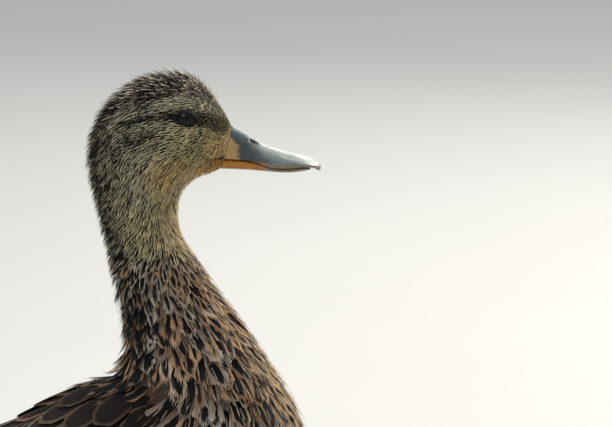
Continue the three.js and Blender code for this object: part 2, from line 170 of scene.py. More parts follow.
def sections(table, stations, sides):
    """Points of the sections at some stations, [station, side, xyz]."""
    row = np.moveaxis(along(table, stations)[:, None], -1, 0)
    back_x, back_z, belly_x, belly_z, half, widest, upper, lower = row
    c, s = np.cos(circle(sides)), np.sin(circle(sides))
    power = 2 / np.where(c >= 0, upper, lower)
    rise, reach = np.sign(c) * np.abs(c) ** power, np.sign(s) * np.abs(s) ** power
    level = widest + rise * np.where(c >= 0, 1 - widest, widest)
    return stacked(belly_x + (back_x - belly_x) * level, half * reach, belly_z + (back_z - belly_z) * level)


def between(corner, fi, fj):
    """Values between the four corners corner(0, 0) to corner(1, 1)."""
    return ((corner(0, 0) * (1 - fi) + corner(1, 0) * fi) * (1 - fj)
            + (corner(0, 1) * (1 - fi) + corner(1, 1) * fi) * fj)


class Noise:
    """Smooth noise from 0 to 1 over two coordinates."""

    def __init__(self):
        self.table = rng.random((256, 256))

    def __call__(self, u, v):
        i, j = np.floor(u).astype(int), np.floor(v).astype(int)
        return between(lambda a, b: self.table[(i + a) % 256, (j + b) % 256],
                       smooth(0, 1, u - i), smooth(0, 1, v - j))


class Sheet:
    """A surface as a grid of points, read anywhere between them."""

    def __init__(self, points, wrap=True, turned=1):
        self.wrap = wrap
        p = np.concatenate([points[:, -1:], points, points[:, :2]], 1) if wrap else points
        di, dj = np.gradient(p, axis=0), np.gradient(p, axis=1)
        grid = np.concatenate([p, unit(np.cross(dj, di)) * turned, di, dj], -1)
        self.grid = grid[:, 1:-1] if wrap else grid

    def read(self, i, j):
        """Place, normal, step along i and step along j at grid places i, j."""
        rows, columns = self.grid.shape[:2]
        if self.wrap:
            j = np.mod(j, columns - 1)
        i0 = np.clip(np.floor(i).astype(int), 0, rows - 2)
        j0 = np.clip(np.floor(j).astype(int), 0, columns - 2)
        v = between(lambda a, b: self.grid[i0 + a, j0 + b], (i - i0)[..., None], (j - j0)[..., None])
        return v[..., 0:3], unit(v[..., 3:6]), v[..., 6:9], v[..., 9:12]

    def steps(self, way, di, dj):
        """The grid step that moves by the vector way along the surface."""
        e, f, g = (di * di).sum(-1), (di * dj).sum(-1), (dj * dj).sum(-1)
        a, b = (way * di).sum(-1), (way * dj).sum(-1)
        area = np.maximum(e * g - f * f, 1e-6)
        return (g * a - f * b) / area, (e * b - f * a) / area


def grid_faces(n, m, wrap, start=0, turned=False):
    i, j = grid_of(np.arange(n - 1), np.arange(m if wrap else m - 1))
    k = (j + 1) % m
    faces = stacked(i * m + j, i * m + k, (i + 1) * m + k, (i + 1) * m + j).reshape(-1, 4) + start
    return faces[:, ::-1] if turned else faces


def tree_of(points, wrap):
    """A BVH tree of a grid of points."""
    faces = grid_faces(*points.shape[:2], wrap)[:, [0, 3, 2, 1]]
    return BVHTree.FromPolygons(points.reshape(-1, 3).tolist(), faces.tolist())


def from_left(tree, x, z):
    """How far out a shape's left side lies at places in side view, and 0 where it has none."""
    down = Vector((0, -1, 0))
    out = np.zeros(np.shape(x))
    for k, (a, b) in enumerate(zip(np.ravel(x), np.ravel(z))):
        hit = tree.ray_cast(Vector((a, 200, b)), down)[0]
        out.flat[k] = hit.y if hit and hit.y > 0 else 0
    return out


stations = np.arange(0, (len(BODY) - 1) * PER_STATION + 1) / PER_STATION
bare = sections(BODY, stations, ROUND)
trunk_tree = tree_of(bare[10 * PER_STATION: 23 * PER_STATION], True)

# The wing's outer face, [station, upper to lower edge], on the trunk at first and free of it later.
WING_STEPS, WING_ROWS = 12, 20
FREE_FROM, FREE_AT = 4.5, 6
wing_stations = np.arange(0, (len(WING) - 1) * WING_STEPS + 1) / WING_STEPS
upper_x, upper_z, lower_x, lower_z, thick, out = np.moveaxis(along(WING, wing_stations)[:, None], -1, 0)
t = np.linspace(0, 1, WING_ROWS + 1)[None, :]
wing_x = upper_x + (lower_x - upper_x) * t
wing_z = upper_z + (lower_z - upper_z) * t
free = smooth(FREE_FROM, FREE_AT, wing_stations)[:, None]
swell = 0.8 * thick * np.sqrt(np.sin(math.pi * t) * 0.92 + 0.08)
wing_y = from_left(trunk_tree, wing_x, wing_z) * (1 - free) + (out - thick / 2) * free + swell
wing_points = stacked(wing_x, wing_y, wing_z)
wing_sheet = Sheet(wing_points, wrap=False)

# Trunk and wings under one coat: the trunk's sides are pushed out to the wings that lie on them.
outer = bare.copy()
wing_tree = tree_of(wing_points[: int(6.3 * WING_STEPS)], False)
first, last = 12 * PER_STATION, 22 * PER_STATION
left = slice(1, ROUND // 2)
side = outer[first:last, left]
pushed = np.maximum(side[..., 1], from_left(wing_tree, side[..., 0], side[..., 2]))
for _ in range(6):
    pushed[1:-1, 1:-1] = (pushed[1:-1, 1:-1] * 2 + pushed[:-2, 1:-1] + pushed[2:, 1:-1]
                          + pushed[1:-1, :-2] + pushed[1:-1, 2:]) / 6
outer[first:last, left, 1] = np.maximum(pushed, side[..., 1] - 0.3)
outer[first:last, ROUND // 2 + 1:, 1] = -outer[first:last, left, 1][:, ::-1]

# The head's front end closes on the bill.
bill_trees = [tree_of(sections(table, np.linspace(0, 4, 50), 96), True) for table in (UPPER_BILL, LOWER_BILL)]
CLOSING_ROWS = 16
for k in range(CLOSING_ROWS):
    for m in range(ROUND):
        near = min((tree.find_nearest(Vector(outer[k, m])) for tree in bill_trees), key=lambda hit: hit[3])
        outer[k, m] = mix(outer[k, m], near[0], smooth(CLOSING_ROWS, 0, k))
coat_sheet = Sheet(outer)

# Arc lengths over the coat, for markings that run along it.
run_s = np.vstack([np.zeros((1, ROUND)), np.cumsum(np.linalg.norm(np.diff(outer, axis=0), axis=-1), 0)])
run_a = np.cumsum(np.linalg.norm(np.roll(outer, -1, 1) - outer, axis=-1), 1)


def field(grid, i, j):
    """A grid of numbers read between its points."""
    rows, columns = grid.shape
    i0 = np.clip(np.floor(i).astype(int), 0, rows - 2)
    j0 = np.floor(j).astype(int)
    near, far = j0 % columns, (j0 + 1) % columns
    at = near, np.where(far < near, near, far)
    return between(lambda a, b: grid[i0 + a, at[b]], np.clip(i - i0, 0, 1), j - j0)


# ---------------------------------------------------------------- meshes
def mesh_of(name, verts, faces, attributes=None, maps=None, flat=False):
    """An object from vertices in mm, faces as index rows, colours per vertex and maps per vertex."""
    mesh = bpy.data.meshes.new(name)
    verts = np.asarray(verts, float).reshape(-1, 3) + (shift, 0, 0)
    mesh.vertices.add(len(verts))
    mesh.vertices.foreach_set("co", (verts * MM).astype(np.float32).ravel())
    groups = [np.asarray(f, np.int32) for f in faces if len(f)]
    loops = np.concatenate([f.ravel() for f in groups])
    totals = np.concatenate([np.full(len(f), f.shape[1], np.int32) for f in groups])
    starts = np.concatenate([[0], np.cumsum(totals)[:-1]]).astype(np.int32)
    mesh.loops.add(len(loops))
    mesh.loops.foreach_set("vertex_index", loops)
    mesh.polygons.add(len(totals))
    mesh.polygons.foreach_set("loop_start", starts)
    mesh.polygons.foreach_set("loop_total", totals)
    mesh.polygons.foreach_set("use_smooth", np.full(len(totals), not flat))
    for key, values in (maps or {}).items():
        layer = mesh.uv_layers.new(name=key)
        layer.uv.foreach_set("vector", np.asarray(values, np.float32)[loops].ravel())
    for key, values in (attributes or {}).items():
        layer = mesh.color_attributes.new(name=key, type="FLOAT_COLOR", domain="POINT")
        full = np.ones((len(verts), 4), np.float32)
        full[:, :3] = np.asarray(values).reshape(-1, 3)
        layer.data.foreach_set("color", full.ravel())
    mesh.update(calc_edges=True)
    made = bpy.data.objects.new(name, mesh)
    bpy.context.scene.collection.objects.link(made)
    return made


# ---------------------------------------------------------------- feathers
def contour_template(rows, columns, ragged, power=2.4, narrow=0.5):
    """A firm vane: (v along, x across) of each vertex, and its faces. A low power narrows it early."""
    v, u = grid_of(np.linspace(0, 1, rows + 1) ** 0.9, np.linspace(-1, 1, columns + 1))
    v = v * (1 - 0.16 * np.abs(u) ** 2.2)
    taper = np.clip(1 - np.clip((v - 0.45) / 0.62, 0, 1) ** power, 0, 1)
    w = np.clip(0.35 + 2.2 * v, 0, 1) * taper ** narrow
    teeth = np.zeros_like(v)
    teeth[-1, 1::2] = ragged
    teeth[-2, ::2] = -ragged * 0.3
    return (v - teeth).ravel(), (u * w).ravel(), [grid_faces(rows + 1, columns + 1, False)]


def loose_template(rows, widths, teeth, split, tip_low, uneven):
    """A soft feather: a narrow vane, as wide as widths at its rows, that parts into loose points from
    split on. tip_low is how much its outer points fall back, and uneven how much each one strays."""
    u = np.linspace(-1, 1, teeth + 1)
    stray = rng.normal(0, uneven, (2, teeth))
    v = np.repeat(rows, teeth + 1)
    x = (u[None] * np.array(widths)[:, None]).ravel()
    base = (len(rows) - 1) * (teeth + 1)
    middle = (u[:-1] + u[1:]) / 2
    shorter = np.where(np.arange(teeth) % 2, 0.05, 0.0)
    tip_v = 1 - tip_low * np.abs(middle) ** 1.5 - shorter + np.clip(stray[0], -0.2, 0.1)
    knee_v = split + (tip_v - split) * 0.55
    quads, points = [grid_faces(len(rows), teeth + 1, False)], []
    more_v, more_x = [], []
    for k in range(teeth):
        start = len(v) + 3 * k
        thin = 0.40 / teeth * 2
        bent = middle[k] + stray[1, k]
        more_x += [middle[k] * 1.04 - thin + bent * 0.1, middle[k] * 1.04 + thin + bent * 0.1, bent * 0.98]
        more_v += [knee_v[k], knee_v[k], tip_v[k]]
        quads.append(np.array([[base + k, base + k + 1, start + 1, start]]))
        points.append([start, start + 1, start + 2])
    return np.concatenate([v, more_v]), np.concatenate([x, more_x]), [np.concatenate(quads), np.array(points)]


def hair_template():
    """A single filament that narrows to a point."""
    v = np.repeat([0, 0.3, 0.6, 0.85], 2)
    x = np.repeat([1, 1, 0.8, 0.45], 2) * np.tile([-1, 1], 4)
    return np.append(v, 1.0), np.append(x, 0.0), [grid_faces(4, 2, False), np.array([[6, 7, 8]])]


def vane_template(rows, point, power):
    """A long firm feather with a raised shaft. point is the share of its length that is its tip."""
    columns = np.array([-1, -0.8, -0.55, -0.3, -0.07, 0, 0.07, 0.3, 0.55, 0.8, 1])
    v, u = grid_of(np.linspace(0, 1, rows + 1), columns)
    tip = np.clip((v - 1 + point) / point, 0, 1)
    width = np.clip(0.3 + 3 * v, 0, 1) * (1 - tip ** power) ** 0.6
    v = v - 0.03 * np.abs(u) ** 2 * tip
    return v.ravel(), (u * np.maximum(width, 0.03)).ravel(), [grid_faces(rows + 1, len(columns), False)]


def grow(sheet, i, j, length, half, turn, base, top, template, cup=0.12, roll=0.0, rise=0.75, shaft=0.0):
    """Feathers that follow a sheet: vertices [feather, vertex, xyz]. They start base mm under it and
    their tips lie top mm over it. turn is their way against the sheet's own, in radians. cup lowers
    both edges, roll lifts one of them, rise is how late they come up, and shaft the ridge's height."""
    v, x, _ = template
    steps = 6
    cos, sin = np.cos(turn)[:, None], np.sin(turn)[:, None]
    ci, cj = [i], [j]
    for _ in range(steps):
        _, n, di, dj = sheet.read(ci[-1], cj[-1])
        t = unit(di)
        way = t * cos + np.cross(n, t) * sin
        a, b = sheet.steps(way * (length / steps)[:, None], di, dj)
        ci.append(ci[-1] + a)
        cj.append(cj[-1] + b)
    at = np.clip(v, 0, 1.2) * steps
    k = np.clip(np.floor(at).astype(int), 0, steps - 1)
    f = at - k
    si, sj = (c[:, k] * (1 - f) + c[:, k + 1] * f for c in (np.stack(ci, 1), np.stack(cj, 1)))
    _, n, di, dj = sheet.read(si, sj)
    t = unit(di)
    across = np.cross(n, t) * cos[..., None] - t * sin[..., None]
    a, b = sheet.steps(across * (x[None] * half[:, None])[..., None], di, dj)
    place, n, _, _ = sheet.read(si + a, sj + b)
    up = -base[:, None] + (base + top)[:, None] * np.clip(v, 0, 1)[None] ** rise
    up = up - cup * half[:, None] * x[None] ** 2 + np.reshape(roll, (-1, 1)) * half[:, None] * x[None]
    up = up + shaft * (np.abs(x) < 0.01)[None]
    return place + n * up[..., None]


class Coat:
    """Feathers gathered into one mesh."""

    PATCH = 0.003  # how wide each feather's patch is in OFBake
    MARGIN = 0.002

    def __init__(self, name):
        self.name = name
        self.verts, self.faces, self.colours, self.vane, self.bake = [], [], {}, [], []
        self.count = 0

    def add(self, verts, template, looks, bake, mirrored=False):
        """Feathers of one template. looks has a value for all or for each, and bake their places."""
        v, x, faces = template
        n, k = verts.shape[:2]
        if mirrored:
            verts = verts * (1, -1, 1)
        else:
            faces = [f[:, ::-1] for f in faces]
        for f in faces:
            self.faces.append((f + (np.arange(n) * k)[:, None, None]).reshape(-1, f.shape[1]) + self.count)
        self.verts.append(verts.reshape(-1, 3))
        for key, value in looks.items():
            value = np.broadcast_to(np.asarray(value, float), (n, 3))
            self.colours.setdefault(key, []).append(np.repeat(value, k, 0))
        self.vane.append(np.tile(stacked(x * 0.5 + 0.5, v), (n, 1)))
        patch = stacked(x * 0.5, v - 0.5) * self.PATCH
        self.bake.append((np.clip(bake, self.MARGIN, 1 - self.MARGIN)[:, None] + patch).reshape(-1, 2))
        self.count += n * k

    def make(self, material, slot="plumage"):
        groups = [[f for f in self.faces if f.shape[1] == sides] for sides in (4, 3)]
        faces = [np.concatenate(group) for group in groups if group]
        made = mesh_of(
            self.name, np.concatenate(self.verts), faces,
            {key: np.concatenate(c) for key, c in self.colours.items()},
            {"OFBake": np.concatenate(self.bake), "Vane": np.concatenate(self.vane)},
        )
        made.data.materials.append(material)
        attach(made, "root")
        return made


# ---------------------------------------------------------------- markings
PALE_BUFF = (0.43, 0.335, 0.18)
THROAT_BUFF = (0.36, 0.275, 0.15)
ORANGE_BUFF = (0.50, 0.29, 0.095)
BUFF = (0.42, 0.355, 0.18)
NECK_BUFF = (0.48, 0.40, 0.22)
GREY_BUFF = (0.35, 0.325, 0.215)
ASH_BUFF = (0.37, 0.33, 0.265)
PALE_ASH = (0.43, 0.39, 0.32)
PINK_BUFF = (0.41, 0.35, 0.27)
WARM_BUFF = (0.40, 0.235, 0.125)
GOLD_BUFF = (0.58, 0.39, 0.20)
RUST_BUFF = (0.16, 0.085, 0.055)
BROWN_BUFF = (0.15, 0.095, 0.062)
PALE_BELLY = (0.46, 0.38, 0.27)
BLACK_BROWN = (0.0080, 0.0088, 0.0082)
GAPE_ORANGE = (0.44, 0.17, 0.012)
BLUE_BLACK = (0.0075, 0.0090, 0.0120)
DARK_BROWN = (0.018, 0.013, 0.010)
MID_BROWN = (0.075, 0.05, 0.036)

# lines on the head in side view, x and height, seen as from the camera's height
STRIPE = np.array([
    (73.2, 337.3), (79.6, 336.8), (86.1, 336.2), (92.6, 336.6), (98, 337), (103.4, 337.6),
    (109.9, 338.4), (117.4, 337.3), (122.3, 337), (127.2, 336.6), (131.5, 335.7), (135.8, 333.9),
    (140.1, 332),
])
STRIPE_HALF = np.array([
    (70, 0.2), (80, 0.9), (90, 1.5), (104, 1.7), (112, 2.6), (121, 3.4), (128, 3.8), (137, 4.6),
    (143, 3),
])
CROWN = np.array([
    (68.8, 335.7), (75.3, 339), (81.8, 342.3), (89.9, 345), (98, 347.2), (106.1, 348), (113.1, 348.3),
    (119.6, 348.6), (125, 348), (130.4, 346.1), (135.3, 342.3), (139.6, 337.3), (143.4, 334),
])
streaks, flecks, patches = Noise(), Noise(), Noise()


def line(points, x):
    return np.interp(x, points[:, 0], points[:, 1])


def stretch(n):
    """Noise spread out so that each tenth of its range is about as likely."""
    return smooth(0.12, 0.88, n)


def around(x, z, centre, wide, high):
    """1 at a place in side view, falling to 0 at an oval round it."""
    return smooth(1.0, 0.3, np.hypot((x - centre[0]) / wide, (z - centre[1]) / high))


def markings(place, i, j):
    """What the plumage looks like at places on the coat: the colour of a feather's middle and of its
    edge, and its form: how far the middle reaches, how strong its inner mark is, and a seed."""
    x, z = place[..., 0], seen_height(place)
    s, turn = i / PER_STATION, from_back(j)
    lat, lon = field(run_a, i, j), field(run_s, i, j)
    fine = stretch(streaks(lat / 1.3 + 40, lon / 4.5)) * 0.6 + flecks(lat / 0.7, lon / 2.2) * 0.4
    patch = patches(lat / 14 + 7, lon / 14)

    # how much of each head and neck feather is dark, from 0 to 1
    stripe_off = (z - line(STRIPE, x)) / line(STRIPE_HALF, x)
    on_stripe = smooth(1.5, 0.6, np.abs(stripe_off)) * smooth(72, 88, x)
    on_stripe = on_stripe * (1 - 0.12 * smooth(122, 132, x))
    in_crown = smooth(-1.6, 1.6, z - line(CROWN, x)) * smooth(7.2, 5.6, s)
    brow = smooth(1.0, 1.8, stripe_off) * (1 - in_crown)
    nape = smooth(100, 26, turn) * smooth(4.2, 5.6, s)
    throat_half = np.interp(s, [0, 0.5, 1, 2.5, 4, 6, 7.4, 8.2, 8.8], [44, 52, 56, 50, 44, 46, 44, 34, 20])
    throat = smooth(throat_half + 12, throat_half - 8, 180 - turn) * smooth(8.9, 8.0, s)
    dark = 0.45 + 0.14 * smooth(105, 88, x) * smooth(7, 5, s) - 0.16 * smooth(118, 134, x)
    dark = dark + 0.40 * around(x, z, (96, 328), 15, 9) - 0.42 * around(x, z, (137, 321), 10, 9)
    dark = dark + (0.40 + 0.30 * smooth(114, 100, x) - dark) * brow * smooth(78, 92, x)
    dark = dark + (0.43 - dark) * smooth(6.0, 7.5, s)
    crown_band = smooth(9, 3, z - line(CROWN, x)) * smooth(124, 106, x)
    crown_band = np.maximum(crown_band, around(x, z, (106, 353.5), 15, 7))
    crown_dark = 0.72 + 0.42 * crown_band - 0.14 * smooth(118, 130, x)
    dark = dark + (crown_dark - dark) * in_crown
    dark = dark + (0.88 - dark) * nape
    dark = dark + 0.16 * (patch - 0.5) + 0.80 * (fine - 0.5)
    dark = dark + (1.1 - dark) * on_stripe
    gape = around(x, z, (135.6, 312.8), 3.8, 2.6)
    dark = dark * (1 - throat) * smooth(0.0, 0.5, s) * (1 - gape)
    specks = np.maximum(around(x, z, (138.0, 315.6), 2.4, 1.6), 0.8 * around(x, z, (135.9, 315.0), 1.5, 1.0))
    dark = dark + 1.2 * specks

    light = mix(GREY_BUFF, BUFF, smooth(90, 125, x) * smooth(345, 325, z))
    warm = 0.48 * around(x, z, (137, 320), 12, 12) + 0.55 * around(x, z, (114, 306), 24, 13)
    light = mix(light, ORANGE_BUFF, warm)
    light = mix(light * 1.25, np.array(PINK_BUFF) * 1.35, in_crown * 0.9)
    light = mix(light, NECK_BUFF, smooth(4.5, 8.0, s) * (1 - nape))
    light = mix(light, ASH_BUFF, smooth(8.4, 9.2, s))
    throat_light = mix(PALE_BUFF, THROAT_BUFF, smooth(4, 6, s))
    light = mix(light, mix(throat_light, ORANGE_BUFF, smooth(3.2, 0.8, s) * 0.8), throat)
    light = light * (0.68 + 0.88 * flecks(lat / 1.1 + 90, lon / 3.0))[..., None]
    light = mix(light, GAPE_ORANGE, 0.85 * gape)
    deep = mix(BLACK_BROWN, DARK_BROWN, patch)
    tipped = 0.62 + 0.35 * in_crown * (1 - crown_band) - 0.25 * nape - 0.35 * on_stripe

    # from the lower neck on each feather has a dark middle and a pale edge
    back = smooth(98, 62, turn) * smooth(11.8, 13.4, s)
    belly = smooth(118, 150, turn) * smooth(15.0, 17.0, s)
    front = smooth(128, 158, turn) * smooth(8.8, 9.6, s) * smooth(17, 14, s)
    side_on = smooth(60, 40, turn) * smooth(13, 11, s)
    blotch = smooth(0.25, 0.75, patches(lat / 3.8 + 61, lon / 13 + 30))
    hue = rng.random(x.shape)
    rim = mix(WARM_BUFF, ASH_BUFF, smooth(0.40, 0.75, flecks(lat / 4 + 31, lon / 9)) * 0.88)
    rim = mix(rim, BROWN_BUFF, smooth(0.50, 0.60, hue) * 0.8 * smooth(0.80, 0.74, hue))
    rim = mix(rim, PALE_ASH, smooth(0.82, 0.90, hue) * 0.6 * smooth(14.5, 13.0, s))
    rim = mix(rim, GOLD_BUFF, front * 0.5)
    rim = mix(rim, mix(RUST_BUFF, (0.30, 0.21, 0.14), smooth(16, 20, s)), back)
    rim = mix(rim, PALE_BELLY, belly)
    rim = rim * (1 - 0.18 * np.maximum(front, belly))[..., None]
    rim = rim * (0.85 + 0.7 * flecks(lat / 3 + 3, lon / 5))[..., None]
    middle = mix(BLUE_BLACK, DARK_BROWN, smooth(0.55, 0.95, flecks(lat / 6, lon / 8)))
    middle = mix(middle, mix((0.011, 0.008, 0.007), (0.032, 0.023, 0.017), smooth(15, 20, s)), back)
    middle = mix(middle, MID_BROWN, belly)
    reach = np.interp(s, [8.7, 10, 12, 14, 17], [0.50, 0.52, 0.54, 0.60, 0.66])
    reach = reach + 0.45 * (blotch - 0.45) * smooth(16, 14, s) * (1 - back)
    reach = reach + 0.22 * back - 0.26 * belly - 0.12 * front + 0.1 * side_on + 0.16 * (fine - 0.5)
    mark = np.clip(smooth(13, 15.5, s) * (0.75 - 0.6 * back - 0.3 * belly), 0, 1)
    seed = rng.random(x.shape)

    coarse = smooth(8.5, 9.3, s)
    large = s > COARSE_FROM
    form = stacked(np.clip(np.where(large, reach, dark), 0, 1.2), np.where(large, mark, tipped), seed)
    return {"mid": mix(deep, middle, coarse), "rim": mix(light, rim, coarse), "form": form}


# ---------------------------------------------------------------- the coat's growth
# station, feather length, half width, spacing, depth of the coat
GROWTH = np.array([
    (0, 2.2, 0.5, 0.8, 0.2), (0.4, 3.2, 0.55, 0.9, 0.8), (1, 4.4, 0.66, 1.08, 1.3),
    (2, 5.2, 0.78, 1.22, 1.8), (3, 5.8, 0.84, 1.3, 2), (5, 6.8, 0.92, 1.45, 2.4),
    (7, 7.2, 0.92, 1.45, 2.6), (8.3, 7.6, 1, 1.55, 2.8), (8.7, 8, 1.35, 1.8, 2.9),
    (9.2, 10, 2.2, 2.7, 3.1), (10, 12.5, 3.2, 3.8, 3.3), (11, 15, 4, 4.7, 3.6), (12, 17.5, 4.7, 5.5, 4),
    (13, 20, 5.6, 6.5, 4.4), (14, 22, 5.8, 6.8, 4.8), (15.5, 23, 5.9, 7, 5), (17.5, 26, 7.2, 8.4, 5),
    (20, 27, 8, 9, 4.8), (22, 26, 7, 8, 4), (25, 20, 6, 8, 2),
])


def growth(i, j):
    """Length, half width and spacing of the feathers at places on the coat, and the coat's depth."""
    s, turn = i / PER_STATION, from_back(j)
    length, half, gap, depth = (np.interp(s, GROWTH[:, 0], column) for column in GROWTH[:, 1:].T)
    back = smooth(80, 45, turn) * smooth(13, 14.5, s) * smooth(22, 20, s)
    under = smooth(130, 160, turn) * smooth(15, 17, s)
    size = 1 + 0.28 * back - 0.25 * under
    return length * size, half * size, gap * (1 + 0.25 * back - 0.2 * under), depth


def off_eye(place, wide, high):
    """How far places lie from the eye in side view, 1 at an oval round it."""
    return np.hypot((place[..., 0] - EYE[0]) / wide, (place[..., 2] - EYE[1]) / high)


def coat_depth(i, j):
    """How far the skin lies under the tips of the plumage."""
    return growth(i, j)[3] * (0.6 + 0.4 * smooth(0.6, 1.4, off_eye(coat_sheet.read(i, j)[0], 12, 10)))


def spread(sheet, first_row, last_row, spacing):
    """Places over part of a wrapped sheet, no two closer than the spacing there."""
    tries = 6.0  # places tried for each spacing squared
    g = sheet.grid[first_row:last_row, :-1]
    area = np.linalg.norm(np.cross(g[..., 6:9], g[..., 9:12]), axis=-1)
    rows, columns = area.shape
    ii, jj = grid_of(np.arange(rows) + first_row, np.arange(columns))
    weight = (area / spacing(ii.astype(float), jj.astype(float)) ** 2).ravel()
    total = int(weight.sum() * tries)
    cell = np.searchsorted(np.cumsum(weight) / weight.sum(), rng.random(total))
    cell = np.minimum(cell, rows * columns - 1)
    i = cell // columns + first_row + rng.random(total) - 0.5
    j = cell % columns + rng.random(total) - 0.5
    i = np.clip(i, first_row, last_row - 0.01)
    place, near = sheet.read(i, j)[0], spacing(i, j)
    tree = kdtree.KDTree(total)
    for k, p in enumerate(place):
        tree.insert(p, k)
    tree.balance()
    free, kept = np.ones(total, bool), np.zeros(total, bool)
    for k in range(total):
        if free[k]:
            others = [found[1] for found in tree.find_range(place[k], near[k])]
            free[others] = kept[others] = False
            kept[k] = True
    return i[kept], j[kept]


def in_eye(place, grown=0.0):
    """Whether places lie inside the ring of the lids."""
    x, z = place[..., 0] - EYE[0], place[..., 2] - EYE[1]
    wide = np.where(x > 0, LID_FRONT, LID_REAR) + grown
    return (x / wide) ** 2 + (z / (3.6 + grown)) ** 2 < 1


def wing_share(x, z):
    """Where a place in side view lies across the folded wing, 0 at its upper edge and 1 at its lower."""
    upper, lower = (line(WING[::-1, k:k + 2], x) for k in (0, 2))
    return (upper - z) / np.maximum(upper - lower, 1)


def lie(place, i, j):
    """Which way the feathers of head and neck run, against the sheet's own way, in radians. fall is
    their way in side view: 0 points back and 90 degrees down."""
    _, n, di, _ = coat_sheet.read(i, j)
    x, z = place[:, 0], place[:, 2]
    high = np.interp(x, [64, 72, 85, 100, 115, 135], [75, 58, 34, 14, 4, 2])
    low = np.interp(x, [64, 72, 85, 100, 115, 135], [80, 72, 60, 46, 32, 22])
    throat = np.interp(x, [66, 85, 100, 108, 116, 124], [58, 62, 66, 74, 94, 112])
    fall = low + (high - low) * smooth(308, 330, z)
    fall = np.radians(fall + (throat - fall) * smooth(302, 280, z))
    down = stacked(-np.cos(fall), 0.0, -np.sin(fall))
    t = unit(di)
    turned = np.arctan2((down * np.cross(n, t)).sum(-1), (down * t).sum(-1))
    return turned * smooth(10.0, 8.6, i / PER_STATION)


i, j = spread(coat_sheet, 1, int(23.6 * PER_STATION), lambda a, b: growth(a, b)[2])
place, normal, _, _ = coat_sheet.read(i, j)
s, turn = i / PER_STATION, from_back(j)
length, half, _, _ = growth(i, j)
depth = coat_depth(i, j)
length = length * rng.uniform(0.86, 1.14, len(i))
half = half * rng.uniform(0.88, 1.12, len(i))
length = length * (1 - 0.22 * smooth(104, 116, place[:, 0]) * smooth(5, 3.5, s))  # shorter on the face

# feathers that would cross the eye stop short of it, and none grows in it
heading = lie(place, i, j)[:, None]
keep = ~in_eye(place)
t = unit(coat_sheet.read(i, j)[2])
ahead = t * np.cos(heading) + np.cross(normal, t) * np.sin(heading)
fit = np.ones(len(i))
for share in (1.0, 0.85, 0.7, 0.55, 0.4, 0.28):
    over = np.zeros(len(i), bool)
    for part in (0.5, 0.75, 1.0):
        over |= in_eye(place + ahead * (length * share * part)[:, None], -0.5) & (s < 6)
    fit = np.where(over, np.minimum(fit, share - 0.13), fit)
length = length * np.maximum(fit, 0.2)

# the panel of the wing that shows has feathers of its own
share = wing_share(place[:, 0], place[:, 2])
on_side = (turn > 25) & (turn < 150)
panel = on_side & (place[:, 0] < 46) & (place[:, 0] > -112) & (share > 0.07) & (share < 0.94) & (s > 13)
keep &= ~panel
i, j, s, turn, place, length, half, depth = (a[keep] for a in (i, j, s, turn, place, length, half, depth))
count = len(i)
looks = markings(place, i, j)

# on crown, nape and the back of the neck the feathers stand out in spikes
high = seen_height(place) - line(CROWN, place[:, 0])
spiky = np.maximum(smooth(-0.5, 1.5, high) * smooth(6, 5, s), smooth(78, 52, turn) * smooth(4.8, 6.0, s))
spiky = spiky * smooth(0.7, 1.8, s) * smooth(13.5, 11, s)
way = lie(place, i, j) + rng.normal(0, 1, count) * (0.08 + 0.14 * spiky)
neck_base = smooth(8.6, 9.4, s) * smooth(15, 13, s)
way = way + rng.normal(0, 0.13, count) * neck_base
flank_rise = smooth(15, 16.5, s) * smooth(21, 19, s) * smooth(80, 100, turn) * smooth(150, 135, turn)
way = way - 0.22 * flank_rise * np.where(j < ROUND / 2, 1, -1)
top = rng.uniform(-0.5, 0.1, count) * depth * 0.25
stand = spiky * rng.uniform(-0.8, 2.4, count) * np.interp(s, [1, 4, 6, 10], [0.6, 0.8, 1.25, 1.3])
top = top + stand * smooth(100, 45, turn)
length = length * (1 - 0.08 * spiky) * (1 + neck_base * rng.uniform(-0.2, 0.25, count))
half = half * (1 - 0.35 * spiky * smooth(9.5, 8.5, s)) * (1 + neck_base * rng.uniform(-0.35, 0.2, count))
base = depth + 0.25
roll = rng.normal(0, 0.05, count)

PLUME = loose_template([0, 0.38], [0.6, 1.0], teeth=4, split=0.38, tip_low=0.16, uneven=0.05)
LOOSE = [loose_template([0, 0.2, 0.42], [0.5, 0.9, 1.0], teeth=12, split=0.50, tip_low=0.34, uneven=0.08)
         for _ in range(5)]
LARGE = contour_template(9, 10, ragged=0.018)
HAIR = hair_template()


def patch_of(i, j, from_s, to_s):
    """A place on the skin's own unwrap, for a piece that covers some of its stations."""
    share = stacked((j % ROUND) / ROUND, (i / PER_STATION - from_s) / (to_s - from_s))
    return Coat.MARGIN + (1 - 2 * Coat.MARGIN) * share


def plumage_piece(name, chosen, templates, material, from_s, to_s):
    piece = Coat(name)
    kinds = np.arange(count) % len(templates)
    for kind, template in enumerate(templates):
        c = chosen & (kinds == kind)
        sizes = (a[c] for a in (i, j, length, half, way, base, top))
        verts = grow(coat_sheet, *sizes, template, roll=roll[c])
        chosen_looks = {key: value[c] for key, value in looks.items()}
        piece.add(verts, template, chosen_looks, patch_of(i[c], j[c], from_s, to_s))
    piece.make(material)


